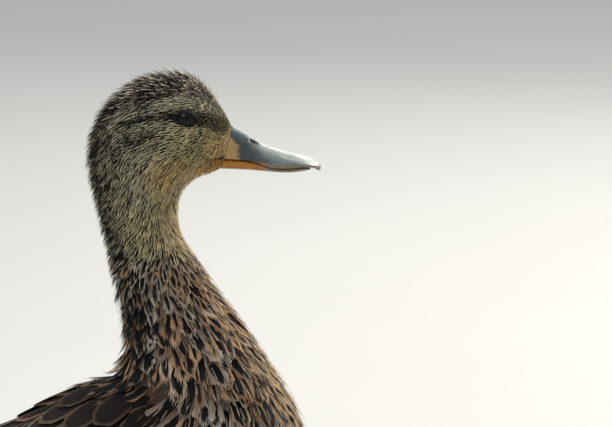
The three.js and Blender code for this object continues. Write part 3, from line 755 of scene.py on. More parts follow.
def hair_piece(name, from_s, to_s, spacing, wanted, length, half, stand, stray, colours, root):
    """Filaments from root mm under the coat, where wanted(i, j) says so, their tips standing by stand mm."""
    first, last = int(from_s * PER_STATION), int(to_s * PER_STATION)
    i, j = spread(coat_sheet, first, last, lambda a, b: spacing + 0 * a)
    place = coat_sheet.read(i, j)[0]
    keep = (rng.random(len(i)) < wanted(i, j)) & ~in_eye(place, 1.0) & ~in_eye(place - (4, 0, 2), 2.0)
    i, j, place = i[keep], j[keep], place[keep]
    n = len(i)
    looks = markings(place, i, j)
    dark, pale = colours(looks, rng.random(n))
    looks = {"mid": dark, "rim": pale, "form": stacked(1.2, 1, rng.random(n))}
    upright = smooth(95, 25, from_back(j))  # least on the sides
    length, way = rng.uniform(*length, n), lie(place, i, j) + rng.normal(0, stray, n)
    top = rng.uniform(*stand, n) * (0.25 + 0.75 * upright)
    half, root = np.full(n, half), np.full(n, root)
    verts = grow(coat_sheet, i, j, length, half, way, root, top, HAIR, cup=0, rise=1.4)
    piece = Coat(name)
    piece.add(verts, HAIR, looks, patch_of(i, j, from_s, to_s))
    piece.make(plume_look)


# ---------------------------------------------------------------- materials
class Value:
    """A number or colour on its way through a material."""

    def __init__(self, nodes, socket):
        self.nodes, self.socket = nodes, socket

    def __abs__(self):
        return self.nodes.math("ABSOLUTE", self)

    def __add__(self, other):
        return self.nodes.math("ADD", self, other)

    def __sub__(self, other):
        return self.nodes.math("SUBTRACT", self, other)

    def __rsub__(self, other):
        return self.nodes.math("SUBTRACT", other, self)

    def __mul__(self, other):
        return self.nodes.math("MULTIPLY", self, other)

    def scaled(self, times, plus):
        return self.nodes.math("MULTIPLY_ADD", self, times, plus)


class Nodes:
    """A material being wired up."""

    def __init__(self, name):
        self.material = bpy.data.materials.new(name)
        self.material.use_nodes = True
        self.tree = self.material.node_tree
        self.shader = self.tree.nodes["Principled BSDF"]

    def set(self, socket, value):
        """Gives a socket a Value, a number or a colour."""
        if isinstance(value, Value):
            self.tree.links.new(value.socket, socket)
        else:
            socket.default_value = (*value, 1) if isinstance(value, tuple) else value

    def make(self, kind, inputs, out=0, **settings):
        """One output of a new node, or a list of all of them where out is None."""
        node = self.tree.nodes.new("ShaderNode" + kind)
        for key, value in settings.items():
            setattr(node, key, value)
        for key, value in inputs.items():
            self.set(node.inputs[key], value)
        made = [Value(self, socket) for socket in (node.outputs if out is None else [node.outputs[out]])]
        return made if out is None else made[0]

    def math(self, operation, *values):
        return self.make("Math", dict(enumerate(values)), operation=operation)

    def ramp(self, value, low, high):
        """0 below low and 1 above high, smoothly."""
        return self.make("MapRange", {0: value, 1: low, 2: high}, interpolation_type="SMOOTHSTEP")

    def blend(self, a, b, factor, kind="MIX"):
        return self.make("Mix", {0: factor, 6: a, 7: b}, 2, data_type="RGBA", blend_type=kind)

    def noise(self, vector, scale, detail=3.0):
        return self.make("TexNoise", {"Vector": vector, "Scale": scale, "Detail": detail})

    def vector(self, x, y, z):
        return self.make("CombineXYZ", {0: x, 1: y, 2: z})

    def attribute(self, name):
        return self.make("Attribute", {}, attribute_name=name)

    def spot(self):
        return self.make("TexCoord", {}, "Object")

    def lit(self, light, colour=None):
        """A colour, or else the mesh's own, made lighter or darker."""
        return self.blend(colour or self.attribute("mid"), self.vector(light, light, light), 1.0, "MULTIPLY")

    def bump(self, height, strength, distance):
        made = self.make("Bump", {"Height": height, "Strength": strength, "Distance": distance})
        self.set(self.shader.inputs["Normal"], made)

    def finish(self, colour, rough, specular, **more):
        given = {"Base Color": colour, "Roughness": rough, "Specular IOR Level": specular, **more}
        for key, value in given.items():
            self.set(self.shader.inputs[key], value)
        return self.material


def grained(name, scale, times, plus, rough, specular, bump=None, **more):
    """A surface in its own colour, lightened and darkened by a fine grain."""
    n = Nodes(name)
    grain = n.noise(n.spot(), scale)
    if bump:
        n.bump(grain, *bump)
    return n.finish(n.lit(grain.scaled(times, plus)), rough, specular, **more)


WHITE_BAR, BLACK_BAR = (0.62, 0.60, 0.56), (0.010, 0.010, 0.011)
BLUE_SHEEN, VIOLET_SHEEN, SHEEN_EDGE = (0.012, 0.022, 0.11), (0.035, 0.018, 0.10), (0.007, 0.008, 0.012)


def feather_material(name, kind, barbs=11.0, specular=0.06):
    """Plumage painted by each feather's own colours and by place across (x) and along (v) its vane.
    kind is plume for the head, loose for neck and breast, and contour or speculum for firm feathers."""
    n = Nodes(name)
    across, v, _ = n.make("SeparateXYZ", {0: n.make("UVMap", {}, uv_map="Vane")}, None)
    x = across.scaled(2, -1)
    reach, mark, seed = n.make("SeparateColor", {0: n.attribute("form")}, None)
    away, seeded, more = abs(x), seed * 91, {}
    if kind in ("contour", "speculum"):
        tip = n.math("MAXIMUM", (v - 0.5) * 2, 0.0)
        edge = n.math("SQRT", x * x + tip * tip)
        slant = v * barbs - away * (barbs * 0.2)
        grain = n.noise(n.vector(slant * 2.2, x * 1.1, seeded), 1.0)
        ragged = edge + (grain - 0.5) * 0.34
        inside = n.ramp(ragged, reach + 0.09, reach - 0.09)
        ring = abs(ragged - reach * 0.62)
        inside = inside * (1.0 - n.ramp(ring, 0.10, 0.04) * (mark * n.ramp(v, 0.3, 0.5)))
    else:
        grain = n.noise(n.vector(x * (3.0 if kind == "plume" else 9.0), v * 1.3, seeded), 1.0)
        ragged = away + (grain - 0.5) * 0.9
        if kind == "loose":  # the middle narrows to a point
            past = n.math("MAXIMUM", v - seed.scaled(0.25, 0.42), 0.0)
            ragged = ragged + past * past * 4.5
        along_v = v + (grain - 0.5) * 0.45 + (seed - 0.5) * 0.2
        tip = n.ramp(along_v, 0.70, 0.90) * mark if kind == "plume" else n.ramp(along_v, 0.82, 0.95)
        inside = n.ramp(ragged, reach + 0.14, reach - 0.14) * (1.0 - tip)
    colour = n.blend(n.attribute("rim"), n.attribute("mid"), inside)
    if kind == "speculum":  # mark 0: a secondary, mark 1: a greater covert
        wobble = v + (grain - 0.5) * 0.03
        covert = n.math("GREATER_THAN", mark, 0.5)
        secondary = 1.0 - covert
        blue = n.ramp(wobble, 0.10, 0.12) * secondary
        sheen = n.blend(BLUE_SHEEN, VIOLET_SHEEN, n.noise(n.vector(x, v, seeded), 2.0, 2.0))
        colour = n.blend(colour, n.blend(sheen, SHEEN_EDGE, n.ramp(away, 0.62, 1.0)), blue)
        colour = n.blend(colour, WHITE_BAR, n.ramp(wobble, 0.76, 0.775) * covert)
        black = n.ramp(wobble, covert.scaled(0.06, 0.84), covert.scaled(0.06, 0.86))
        colour = n.blend(colour, BLACK_BAR, black)
        colour = n.blend(colour, WHITE_BAR, n.ramp(wobble, 0.93, 0.945) * secondary)
        more = {"Metallic": blue * 0.55}
    # each feather darkens toward its root: a painted shade where it lies under the feathers above it; its
    # grain lightens and darkens it too
    colour = n.lit(grain.scaled(1.3, 0.35) * n.ramp(v, 0.2, 0.72).scaled(0.5, 0.5), colour)
    n.bump(grain, 0.3, 0.0004)
    return n.finish(colour, grain.scaled(0.25, 0.5), specular, **more)


plume_look = feather_material("plume", "plume")
loose_look = feather_material("loose_feather", "loose")
feather_look = feather_material("contour_feather", "contour", barbs=22)

BANDS = [
    ("coat_face", 0, 3.4, [PLUME], plume_look),
    ("coat_nape", 3.4, 7.0, [PLUME], plume_look),
    ("coat_neck", 7.0, COARSE_FROM, [PLUME], plume_look),
    ("coat_neck_base", COARSE_FROM, 11.5, LOOSE, loose_look),
    ("coat_shoulders", 11.5, 14.4, LOOSE, loose_look),
    ("coat_breast", 14.4, 17.0, [LARGE], feather_look),
    ("coat_flanks", 17.0, 20.0, [LARGE], feather_look),
    ("coat_rump", 20.0, 24.0, [LARGE], feather_look),
]
for name, from_s, to_s, templates, look in BANDS:
    plumage_piece(name, (s >= from_s) & (s < to_s), templates, look, from_s, to_s)


def on_crown(i, j):
    place, s = coat_sheet.read(i, j)[0], i / PER_STATION
    crown = smooth(0.5, 2.5, seen_height(place) - line(CROWN, place[:, 0])) * smooth(6.4, 5.2, s)
    return np.maximum(crown, smooth(84, 40, from_back(j)) * smooth(4.4, 5.6, s))


def on_breast(i, j):
    return 0.6 * smooth(55, 95, from_back(j))


def crown_hairs(looks, chance):
    pale = np.array(PINK_BUFF) * (0.5 + 1.25 * rng.random(len(chance)))[:, None]
    dark = mix(BLACK_BROWN, DARK_BROWN, chance)
    dark_here = chance > 1.02 - 0.70 * looks["form"][:, 0]
    return mix(pale * 0.45, dark, dark_here), mix(pale * 1.3, dark, dark_here)


def nape_hairs(looks, chance):
    pale = np.array(GREY_BUFF) * (0.4 + 0.6 * rng.random(len(chance)))[:, None]
    dark = mix(BLACK_BROWN, DARK_BROWN, chance)
    return dark, mix(pale, dark, chance > 0.5)


def breast_hairs(looks, chance):
    pale = mix(looks["rim"], PALE_ASH, smooth(0.5, 0.7, chance) * 0.8)
    return pale * 0.7, pale


# name, stations, spacing, where, length, half width, how far the tips stand, stray, colours, root
HAIRS = [
    ("coat_hairs_crown", 0.7, 5.0, 1.35, on_crown, (6.0, 9.5), 0.40, (0.8, 3.8), 0.12, crown_hairs, 2.2),
    ("coat_hairs_nape", 5.0, 11.2, 1.8, on_crown, (8.0, 12.0), 0.4, (0.6, 3.2), 0.16, nape_hairs, 2.2),
    ("coat_hairs_breast", 8.9, 15.0, 2.9, on_breast, (4.5, 8.0), 0.34, (0.0, 1.2), 0.14, breast_hairs, 0.6),
]
for row in HAIRS:
    hair_piece(*row)

# ---------------------------------------------------------------- wings and tail
ROUND_VANE = vane_template(16, point=0.30, power=2.4)
POINTED_VANE = vane_template(20, point=0.45, power=1.5)
SCAPULAR = contour_template(14, 12, ragged=0.012, power=1.9, narrow=0.62)
speculum_look = feather_material("speculum", "speculum", barbs=26, specular=0.4)
flight_look = feather_material("flight_feather", "contour", barbs=26, specular=0.15)
large_look = feather_material("large_feather", "contour", barbs=40, specular=0.08)

BROWN = (0.074, 0.055, 0.043)
WING_EDGE = (0.36, 0.27, 0.185)
PALE_BROWN = (0.12, 0.09, 0.065)


def vary(colour, jitter):
    return np.asarray(colour) * (1 + 0.14 * jitter)[:, None]


def wing_row(at, edges, length, half, template, mid, rim, reach, base, top, roll, mark=0, turn=0.0,
             shaft=0.25, rise=0.5, cup=0.16, stray=1.0):
    """A row of feathers on a folded wing: stations along it, shares across it, and sizes, one or many.
    stray is how much their places and lengths vary."""
    count = len(edges)
    sizes = (at, edges, length, half, turn, base, top, roll)
    at, edges, length, half, turn, base, top, roll = (np.zeros(count) + size for size in sizes)
    jitter = rng.normal(0, 1, (4, count))
    form = stacked(reach, mark, rng.random(count))
    looks = {"mid": vary(mid, jitter[0]), "rim": vary(rim, jitter[1]), "form": form}
    verts = grow(
        wing_sheet, at * WING_STEPS + 0.3 * stray * jitter[2], edges * WING_ROWS,
        length * (1 + 0.02 * stray * jitter[3]), half, turn, base, top, template, cup, roll, rise, shaft,
    )
    return verts, template, looks, stacked(at / (len(WING) - 1), edges * 0.5)


for mirrored, word in ((False, "left"), (True, "right")):
    firm, flight, speculum = (Coat(kind + word) for kind in ("coverts_", "flight_", "speculum_"))

    def put(piece, row):
        verts, template, looks, patch = row
        piece.add(verts, template, looks, patch + (0, 0.5 * mirrored), mirrored)

    for k, length in enumerate((101, 96, 89, 81, 72, 62, 52)):  # primaries, the longest lowest
        put(flight, wing_row(
            5.15, [0.74 - 0.07 * k], length, 6.0, POINTED_VANE, (0.036, 0.027, 0.022), (0.15, 0.11, 0.085),
            reach=0.93, base=2.6, top=-1.0 + 0.42 * k, roll=-0.5, shaft=0.4, rise=0.8,
        ))
    count = 9  # secondaries, which carry the speculum
    put(speculum, wing_row(
        np.linspace(3.15, 3.5, count), np.linspace(0.93, 0.34, count), 62, 7.4, ROUND_VANE,
        (0.045, 0.034, 0.027), (0.2, 0.15, 0.11),
        reach=0.9, base=1.5, top=np.linspace(-1.0, 0.4, count), roll=-0.05, stray=0.2,
    ))
    count = 8  # greater coverts
    put(speculum, wing_row(
        np.linspace(2.3, 2.62, count), np.linspace(0.93, 0.26, count), 38, 7.4, ROUND_VANE,
        (0.075, 0.053, 0.040), (0.24, 0.17, 0.12),
        reach=0.86, mark=1, base=2.0, top=np.linspace(0.1, 1.7, count), roll=-0.10, rise=0.8, cup=0.03,
        stray=0.2,
    ))
    for r, at in enumerate((2.02, 1.66, 1.30, 0.94, 0.58)):  # the smaller coverts
        edges = np.linspace(0.95, 0.12, 6) + 0.08 * (r % 2)
        put(firm, wing_row(
            at, edges, 27 - r, 7.2 + 0.2 * r, LARGE, BROWN, WING_EDGE,
            reach=0.74, base=2.4, top=1.2 + 0.15 * r, roll=-0.06, shaft=0.2, rise=0.9, cup=0.05,
        ))
    for k in range(4):  # tertials, the shortest on top
        put(flight, wing_row(
            2.45 + 0.05 * k, [0.35 - 0.09 * k], 104 - 10 * k, 9.2, ROUND_VANE, (0.050, 0.037, 0.029),
            (0.27, 0.195, 0.135), reach=0.86, base=1.2, top=1.5 + 0.7 * k, roll=-0.1, turn=-0.02, shaft=0.4,
        ))
    for piece, look in ((firm, large_look), (flight, flight_look), (speculum, speculum_look)):
        made = piece.make(look, "flight_feathers")
        if piece is flight:
            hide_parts("wing_" + word)


def large_feathers(name, from_s, to_s, low_turn, high_turn, size, heading, tones, up):
    """Big feathers on both sides of the coat between two stations and two angles from the back.
    run is a feather's share of the way along them, and across its share of the way round."""
    spacing = 10.5
    first, last = int(from_s * PER_STATION), int(to_s * PER_STATION)
    i, j = spread(coat_sheet, first, last, lambda a, b: spacing + 0 * a)
    run = (i / PER_STATION - from_s) / (to_s - from_s)
    low, high = (np.interp(run, [0, 1], ends) for ends in (low_turn, high_turn))
    across = (from_back(j) - low) / (high - low)
    keep = (across > 0) & (across < 1)
    i, j, run, across = i[keep], j[keep], run[keep], across[keep]
    n = len(i)
    length, half = size(run, across)
    side = np.where(j % ROUND < ROUND / 2, 1, -1)
    mid, rim, reach, mark = tones(run, rng.normal(0, 1, (2, n)))
    looks = {"mid": mid, "rim": rim, "form": stacked(reach, mark, rng.random(n))}
    length, half = length * rng.uniform(0.9, 1.1, n), half * rng.uniform(0.92, 1.08, n)
    way = side * heading(run, across) + rng.normal(0, 0.05, n)
    top = np.interp(across, [0, 1], up) + rng.uniform(-0.4, 0.4, n)
    roll = rng.normal(0, 0.03, n)
    base = np.full(n, 3.0)
    verts = grow(coat_sheet, i, j, length, half, way, base, top, SCAPULAR, 0.08, roll, 0.6, shaft=0.2)
    piece = Coat(name)
    piece.add(verts, SCAPULAR, looks, patch_of(i, j, from_s, to_s))
    piece.make(large_look)


def scapular_tones(run, jitter):
    mid = mix((0.012, 0.008, 0.007), (0.042, 0.029, 0.021), run)
    rim = mix((0.075, 0.046, 0.034), (0.30, 0.205, 0.13), smooth(0.0, 0.45, run))
    return vary(mid, jitter[0]), vary(rim, jitter[1]), 0.80, 0.55 * run


def flank_tones(run, jitter):
    mid = mix((0.03, 0.021, 0.016), (0.055, 0.038, 0.028), run)
    rim = mix(WARM_BUFF, (0.42, 0.31, 0.2), rng.random(len(run)))
    return vary(mid, jitter[0]), vary(rim, jitter[1]), 0.66, 0.95


large_feathers(
    "scapulars", 13.2, 18.8, (14, 10), (64, 48),
    lambda run, across: (26 + 20 * run + 4 * across, 8.0 + 2.0 * run),
    lambda run, across: -0.10 - 0.16 * across, scapular_tones, (1.0, 4.0),
)
large_feathers(
    "flank_feathers", 15.2, 20.4, (105, 105), (125, 122),
    lambda run, across: (34 + 8 * run, 9.6),
    lambda run, across: 0.20 + 0.12 * (1 - across), flank_tones, (2.6, 1.8),
)

rectrices = Coat("tail_feathers")
v, x, _ = POINTED_VANE
for k in range(9):
    for sign in (1, -1):
        level = -0.42 * k - (0.15 if sign < 0 else 0)
        root = np.array([-112, sign * (1.2 + 1.15 * k), 95.5 + level])
        reach_y = 3.2 + 3.5 * k
        tip = np.array([-188.6 + 0.021 * reach_y ** 2, sign * reach_y, 89.2 + level - 0.02 * k * k])
        run = tip - root
        up = unit(np.array([0.07, sign * 0.02 * k, 1.0]))
        across = unit(np.cross(up, run))
        lift = -0.012 * np.linalg.norm(run) * 4 * v * (1 - v) - 1.1 * x ** 2 + 0.3 * (np.abs(x) < 0.01)
        verts = root + run * v[:, None] + across * (x * 8.4)[:, None] + up * lift[:, None]
        looks = {
            "mid": mix(BROWN, PALE_BROWN, rng.random()),
            "rim": mix((0.36, 0.275, 0.19), (0.48, 0.40, 0.30), rng.random()),
            "form": (0.80, 0.9, rng.random()),
        }
        rectrices.add(verts[None], POINTED_VANE, looks, np.array([[0.5 + sign * (0.03 + 0.05 * k), 0.5]]))
made = rectrices.make(flight_look, "flight_feathers")
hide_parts("tail")

# ---------------------------------------------------------------- skin
skin_i, skin_j = grid_of(np.arange(0.0, SKIN_END * PER_STATION + 1, 2), np.arange(0.0, ROUND))
skin_place, skin_normal, _, _ = coat_sheet.read(skin_i, skin_j)
skin_points = skin_place - skin_normal * coat_depth(skin_i, skin_j)[..., None]


class Flesh:
    """The parts of the skin, or the claws, gathered into one mesh."""

    def __init__(self):
        self.verts, self.faces, self.tones, self.looks = [], [], [], []
        self.count = 0

    def add(self, points, tones, look, turned=False, caps=(True, True)):
        """A tube of rings, each of them closed, with a cap on each end that is wanted."""
        n, m = points.shape[:2]
        verts = points.reshape(-1, 3)
        faces = [grid_faces(n, m, True, self.count, turned)]
        tones = np.broadcast_to(tones, points.shape).reshape(-1, 3)
        for end, wanted in zip((0, n - 1), caps):
            if wanted:
                hub = self.count + len(verts)
                verts = np.vstack([verts, points[end].mean(0)])
                tones = np.vstack([tones, tones[end * m]])
                ring = self.count + end * m + np.arange(m)
                fan = stacked(hub, ring, np.roll(ring, -1))
                faces.append(fan if (end == 0) == turned else fan[:, ::-1])
        self.verts.append(verts)
        self.tones.append(tones)
        for f in faces:
            self.faces.append(f)
            self.looks.append(np.full(len(f), look))
        self.count += len(verts)

    def make(self, name, materials):
        order = sorted(range(len(self.faces)), key=lambda k: self.faces[k].shape[1])
        faces = [self.faces[k] for k in order]
        made = mesh_of(name, np.concatenate(self.verts), faces, {"mid": np.concatenate(self.tones)})
        for material in materials:
            made.data.materials.append(material)
        looks = np.concatenate([self.looks[k] for k in order]).astype(np.int32)
        made.data.polygons.foreach_set("material_index", looks)
        return made


DOWN, BARE, SCALES = range(3)  # the skin's materials
flesh = Flesh()
marks = markings(skin_place, skin_i, skin_j)
skin_tones = mix(marks["mid"], marks["rim"], 0.35) * 0.7
near_bill = smooth(1.2, 0.4, skin_i / PER_STATION) * smooth(30, 55, from_back(skin_j))
skin_tones = mix(skin_tones, (0.26, 0.18, 0.085), near_bill)
skin_tones = mix(skin_tones, BLACK_BROWN, smooth(1.25, 0.95, off_eye(skin_place, 8.0, 6.0)))
flesh.add(skin_points, skin_tones, DOWN)

# lids: a ring from the opening out to the skin, over the ball
eye_low, eye_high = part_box("eye_left")
eye_y = (eye_low.y + eye_high.y) / 2 / MM
skin_tree = tree_of(skin_points[: 7 * PER_STATION // 2], True)
angle = circle(72)
c, sn = np.cos(angle), np.sin(angle)
open_x = np.where(c > 0, LID_FRONT * c, LID_REAR * c)
open_z = np.where(sn > 0, 3.0, 3.45) * sn * (1 - 0.5 * np.clip(-c, 0, 1) ** 2.5)
rim_x, rim_z = np.where(c > 0, 6.6, 7.2) * c, 5.4 * sn
LID_RINGS = (  # share of the way out, height over the ball
    (-0.04, -0.9), (0.0, 0.0), (0.08, 0.2), (0.2, 0.22), (0.36, 0.15), (0.55, 0.0), (0.78, -0.2), (1.0, -0.5),
)
rings = []
for out, thick in LID_RINGS:
    x = open_x * (1 - out) + rim_x * out
    z = open_z * (1 - out) + rim_z * out
    skin_y = from_left(skin_tree, EYE[0] + x, EYE[1] + z)
    ball_y = eye_y + np.sqrt(np.maximum((EYE_RADIUS + thick) ** 2 - np.hypot(x, z) ** 2, 0))
    rings.append(stacked(EYE[0] + x, np.maximum(ball_y, skin_y + min(thick, 0.25)), EYE[1] + z))
lid = np.stack(rings)
lower_rear = bell(angle - math.radians(218), 0.30)
ring_share = np.arange(len(rings))[:, None]
lid_tones = mix(BLACK_BROWN, (0.040, 0.038, 0.031), lower_rear[None] * bell(ring_share - 2.0, 0.7))
for mirror in (1, -1):
    flesh.add(lid * (1, mirror, 1), lid_tones, BARE, turned=mirror < 0, caps=(False, False))

skin_look = grained("skin_down", 900, times=0.8, plus=0.6, rough=0.85, specular=0.15, bump=(0.5, 0.0006))
n = Nodes("bare_skin")
spot = n.spot()
n.bump(n.make("TexVoronoi", {"Vector": spot, "Scale": 1100.0}), 0.35, 0.0004)
bare_look = n.finish(n.lit(n.noise(spot, 420.0).scaled(0.5, 0.75)), 0.7, 0.12)

# ---------------------------------------------------------------- bill
NOSTRIL = np.array([153.9, 4.1, 324.7])
# the third tone is the bill's paler horn toward the tip, and also a painted highlight on its upward faces and
# on the nostril's upper rim
SLATE, BLUE_GREY, PALE_TIP_AND_HIGHLIGHT = (0.030, 0.043, 0.048), (0.105, 0.130, 0.130), (0.34, 0.365, 0.335)
NAIL, TAN, BILL_ORANGE = (0.38, 0.355, 0.30), (0.37, 0.22, 0.09), (0.40, 0.145, 0.006)
TOMIUM = (0.20, 0.15, 0.095)  # the cutting edge


def closed(name, points, tone, poles, turned):
    """A tube whose rings run round its way on, with both ends closed to its poles."""
    rings, sides = points.shape[:2]
    ring, hub = np.arange(sides), rings * sides
    end = ring + hub - sides
    fans = np.vstack([stacked(np.roll(ring, -1), ring, hub), stacked(end, np.roll(end, -1), hub + 1)])
    faces = [fans[:, ::-1] if turned else fans, grid_faces(rings, sides, True, turned=turned)]
    tones = np.vstack([tone.reshape(-1, 3), tone[0, 0], tone[-1, 0]])
    return mesh_of(name, np.vstack([points.reshape(-1, 3), *poles]), faces, {"mid": tones})


def bill(name, table, rings, sides, upper):
    points = sections(table, np.linspace(0, len(table) - 1, rings), sides)
    normal = Sheet(points, turned=-1).grid[:, :-1, 3:6]
    x, y, z = np.moveaxis(points, -1, 0)
    seen = seen_height(points)
    push = np.zeros(x.shape)
    wear = Noise()
    mottle = stretch(wear(x / 2.6, seen / 1.3)) * 0.6 + stretch(wear(x / 0.9 + 50, seen / 0.5)) * 0.4
    if upper:
        # the nostril, an oval hole on the slope beside the ridge, with a raised upper rim
        slope, out = unit(np.array([1.0, 0.0, -0.46])), unit(np.array([0.35, 0.62, 0.70]))
        off = stacked(x, np.abs(y), z) - NOSTRIL
        level, rise = (off * slope).sum(-1), (off * np.cross(slope, out)).sum(-1)
        hole = np.hypot(level / 3.1, rise / 1.35)
        push -= 1.5 * smooth(1.0, 0.35, hole)
        push += 0.28 * smooth(2.0, 1.25, hole) * smooth(0.8, 1.15, hole) * smooth(-0.5, 0.6, rise)
        crease = np.interp(x, [140, 158, 166, 176, 186], [315.0, 313.4, 312.6, 312.4, 312.4])
        push -= 0.22 * bell(seen - crease, 0.6) * smooth(187, 180, x) * smooth(156, 164, x)
        nail = np.hypot((x - 189.0) / 7.0, y / 4.4)
        push += 0.16 * smooth(1.08, 0.9, nail) - 0.12 * bell(nail - 1.12, 0.07)
        push -= 0.4 * bell(y, 3.0) * bell(x - 163, 9)
        push += 0.05 * np.sin(y * 5) * smooth(176, 184, x) * smooth(0.95, 1.2, nail)
    points = points + normal * push[..., None]
    # top is how much the bill faces up: the upper bill is painted lighter there, a painted highlight, both in
    # the paler slate near its base and in the pale tone over its upper faces
    top = smooth(0.15, 0.95, normal[..., 2])
    near = smooth(168, 150, x)
    if upper:
        tone = mix(BLUE_GREY, SLATE, np.clip(1.1 * near * (1 - 0.4 * top) + 0.3 * (mottle - 0.5), 0, 1))
        tone = mix(tone, PALE_TIP_AND_HIGHLIGHT, top * 0.85 * smooth(149, 159, x) + 0.35 * smooth(174, 186, x))
        tone = mix(tone, (0.06, 0.07, 0.068), smooth(0.6, 0.85, mottle) * 0.35)
        base_line = np.interp(
            seen, [311, 315, 321, 325, 328, 333], [145.2, 146.0, 145.8, 143.6, 138.5, 135.0])
        tone = mix(tone, TAN, smooth(1.5, -1.5, x - base_line + 1.8 * (mottle - 0.5)))
        low = np.interp(x, [136, 146, 158, 163, 180, 190], [314.6, 313.9, 312.4, 311.6, 311.2, 310.6])
        edge = mix(BILL_ORANGE, TOMIUM, smooth(154, 163, x + 3 * (mottle - 0.5)))
        tone = mix(tone, edge, smooth(0.45, -0.45, seen - low + 0.7 * (mottle - 0.5)))
        tone = mix(tone, NAIL, smooth(1.1, 0.8, nail) * 0.5)
        tone = mix(tone, (0.10, 0.075, 0.055), smooth(311.5, 309.8, z) * smooth(186, 189, x))
        # the nostril's hole is painted dark red-brown: a painted shade in the recess
        tone = mix(tone, (0.055, 0.021, 0.019), smooth(1.15, 0.8, hole))
        # the nostril's raised upper rim is painted pale: a painted highlight
        lit_rim = smooth(1.9, 1.4, hole) * smooth(1.0, 1.2, hole) * smooth(0.0, 0.8, rise)
        tone = mix(tone, PALE_TIP_AND_HIGHLIGHT, lit_rim * 0.5)
    else:
        tone = mix(BILL_ORANGE, TOMIUM, smooth(153, 164, x + 6 * (mottle - 0.5)))
        tone = mix(tone, (0.10, 0.075, 0.05), smooth(0.6, 0.9, mottle) * 0.35)
    made = closed(name + "_horn", points, tone, (points[0].mean(0), points[-1].mean(0)), True)
    made.data.materials.append(horn_look)
    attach(made, "root")
    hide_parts(name)


n = Nodes("horn")
spot = n.spot()
spot_x, spot_y, spot_z = n.make("SeparateXYZ", {0: spot}, None)
fibre = n.noise(n.vector(spot_x * 0.3, spot_y, spot_z), 1500.0)
cloud = n.noise(spot, 260.0, 4.0)
n.bump(fibre, 0.12, 0.0003)
horn_look = n.finish(
    n.lit((fibre * 0.35 + cloud * 0.65).scaled(0.7, 0.65)), cloud.scaled(0.25, 0.18), 0.5,
    **{"Coat Weight": 0.25, "Coat Roughness": 0.25},
)
bill("bill_upper", UPPER_BILL, 160, 96, True)
bill("bill_lower", LOWER_BILL, 90, 64, False)

# ---------------------------------------------------------------- eyes
coated = {"Coat Weight": 0.06, "Coat Roughness": 0.05}
eye_look = grained("eyeball", 1400, times=0.9, plus=0.55, rough=0.12, specular=0.16, **coated)
BULGE, PUPIL_EDGE, IRIS_END = 0.035, (0.46, 0.50), (0.82, 0.95)
for mirror, word in ((1, "left"), (-1, "right")):
    polar, turn_a = grid_of(np.linspace(0.02, math.pi - 0.02, 48), circle(64))
    centre = np.array([EYE[0], mirror * (eye_y - 0.5), EYE[1]])
    r = EYE_RADIUS * (1 + BULGE * smooth(0.95, 0.5, polar))
    ball = centre + stacked(
        r * np.sin(polar) * np.cos(turn_a), mirror * r * np.cos(polar), r * np.sin(polar) * np.sin(turn_a))
    spokes = flecks(turn_a * 12, polar * 3)
    iris = mix((0.006, 0.0045, 0.004), (0.011, 0.008, 0.006), spokes)
    tone = mix((0.004, 0.004, 0.004), iris, smooth(*PUPIL_EDGE, polar))
    tone = mix(tone, (0.006, 0.005, 0.005), smooth(*IRIS_END, polar))
    poles = (centre + (0, mirror * EYE_RADIUS * (1 + BULGE), 0), centre - (0, mirror * EYE_RADIUS, 0))
    eye = closed("eyeball_" + word, ball, tone, poles, mirror < 0)
    eye.data.materials.append(eye_look)
    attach(eye, "root")
    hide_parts("eye_" + word)

# ---------------------------------------------------------------- legs
STANCE = 27.0
ANKLE, FOOT, SPLAY = (30.0, 47.0), (43.0, 7.5), 0.06
TARSUS = np.array([
    (-0.05, 3.6, 3), (0.03, 4.3, 3.3), (0.12, 4.9, 3.5), (0.26, 3.9, 2.7), (0.5, 3.4, 2.4),
    (0.75, 3.3, 2.5), (0.95, 3.9, 3.4), (1.06, 4.1, 3.5),
])
SHANK = np.array([
    (52, STANCE + 3, 82, 24, 17), (46, STANCE + 2, 70, 21, 15.5), (39.5, STANCE + 0.6, 58.5, 13.5, 11.5),
    (34, STANCE, 51.5, 7.6, 6.6), (30.6, STANCE, 45.6, 5.0, 4.4),
])
TOES = [  # angle, length, radius
    ("inner", -0.47, 40, 2.5), ("middle", -0.02, 49, 2.8), ("outer", 0.43, 47, 2.6),
    ("hind", math.pi - 0.12, 10, 1.7),
]
CLAW_LENGTH, CLAW_RADIUS = 6.5, 1.35
LEG_ORANGE, LEG_DARK, WEB_TONE = (0.50, 0.17, 0.035), (0.22, 0.075, 0.022), (0.33, 0.115, 0.03)
CLAW_DARK, CLAW_PALE = (0.02, 0.017, 0.015), (0.075, 0.06, 0.048)
FLOOR_GAP = 0.05


def tube(rows, rings, sides, wide=(0.0, 1.0, 0.0)):
    """Points round a path of x, y, z, half depth and half width, the way out at each, the angle of
    each and the length run. wide is the way in which the half width lies."""
    row = along(np.array(rows), np.linspace(0, len(rows) - 1, rings))
    centre = row[:, :3]
    way = unit(np.gradient(centre, axis=0))
    wide = unit(wide - way * (wide * way).sum(-1, keepdims=True))
    fore = np.cross(way, wide)
    angle = circle(sides)
    run = np.concatenate([[0], np.cumsum(np.linalg.norm(np.diff(centre, axis=0), axis=-1))])
    c, s = np.cos(angle)[None, :, None], np.sin(angle)[None, :, None]
    out = wide[:, None] * c * row[:, None, 4:5] + fore[:, None] * s * row[:, None, 3:4]
    return centre[:, None] + out, unit(out), angle, run


def plated(part, step, front, height, least):
    """A part of the leg with overlapping plates along its front: its points and their colours."""
    points, out, angle, run = part
    saw = (run / step) % 1
    plates = (smooth(0.0, 0.75, saw) * smooth(1.0, 0.92, saw))[:, None]
    plates = plates * smooth(0.1, 0.7, np.sin(angle) * front)
    points = points + out * (height * plates)[..., None]
    return points, np.maximum(plates, least)


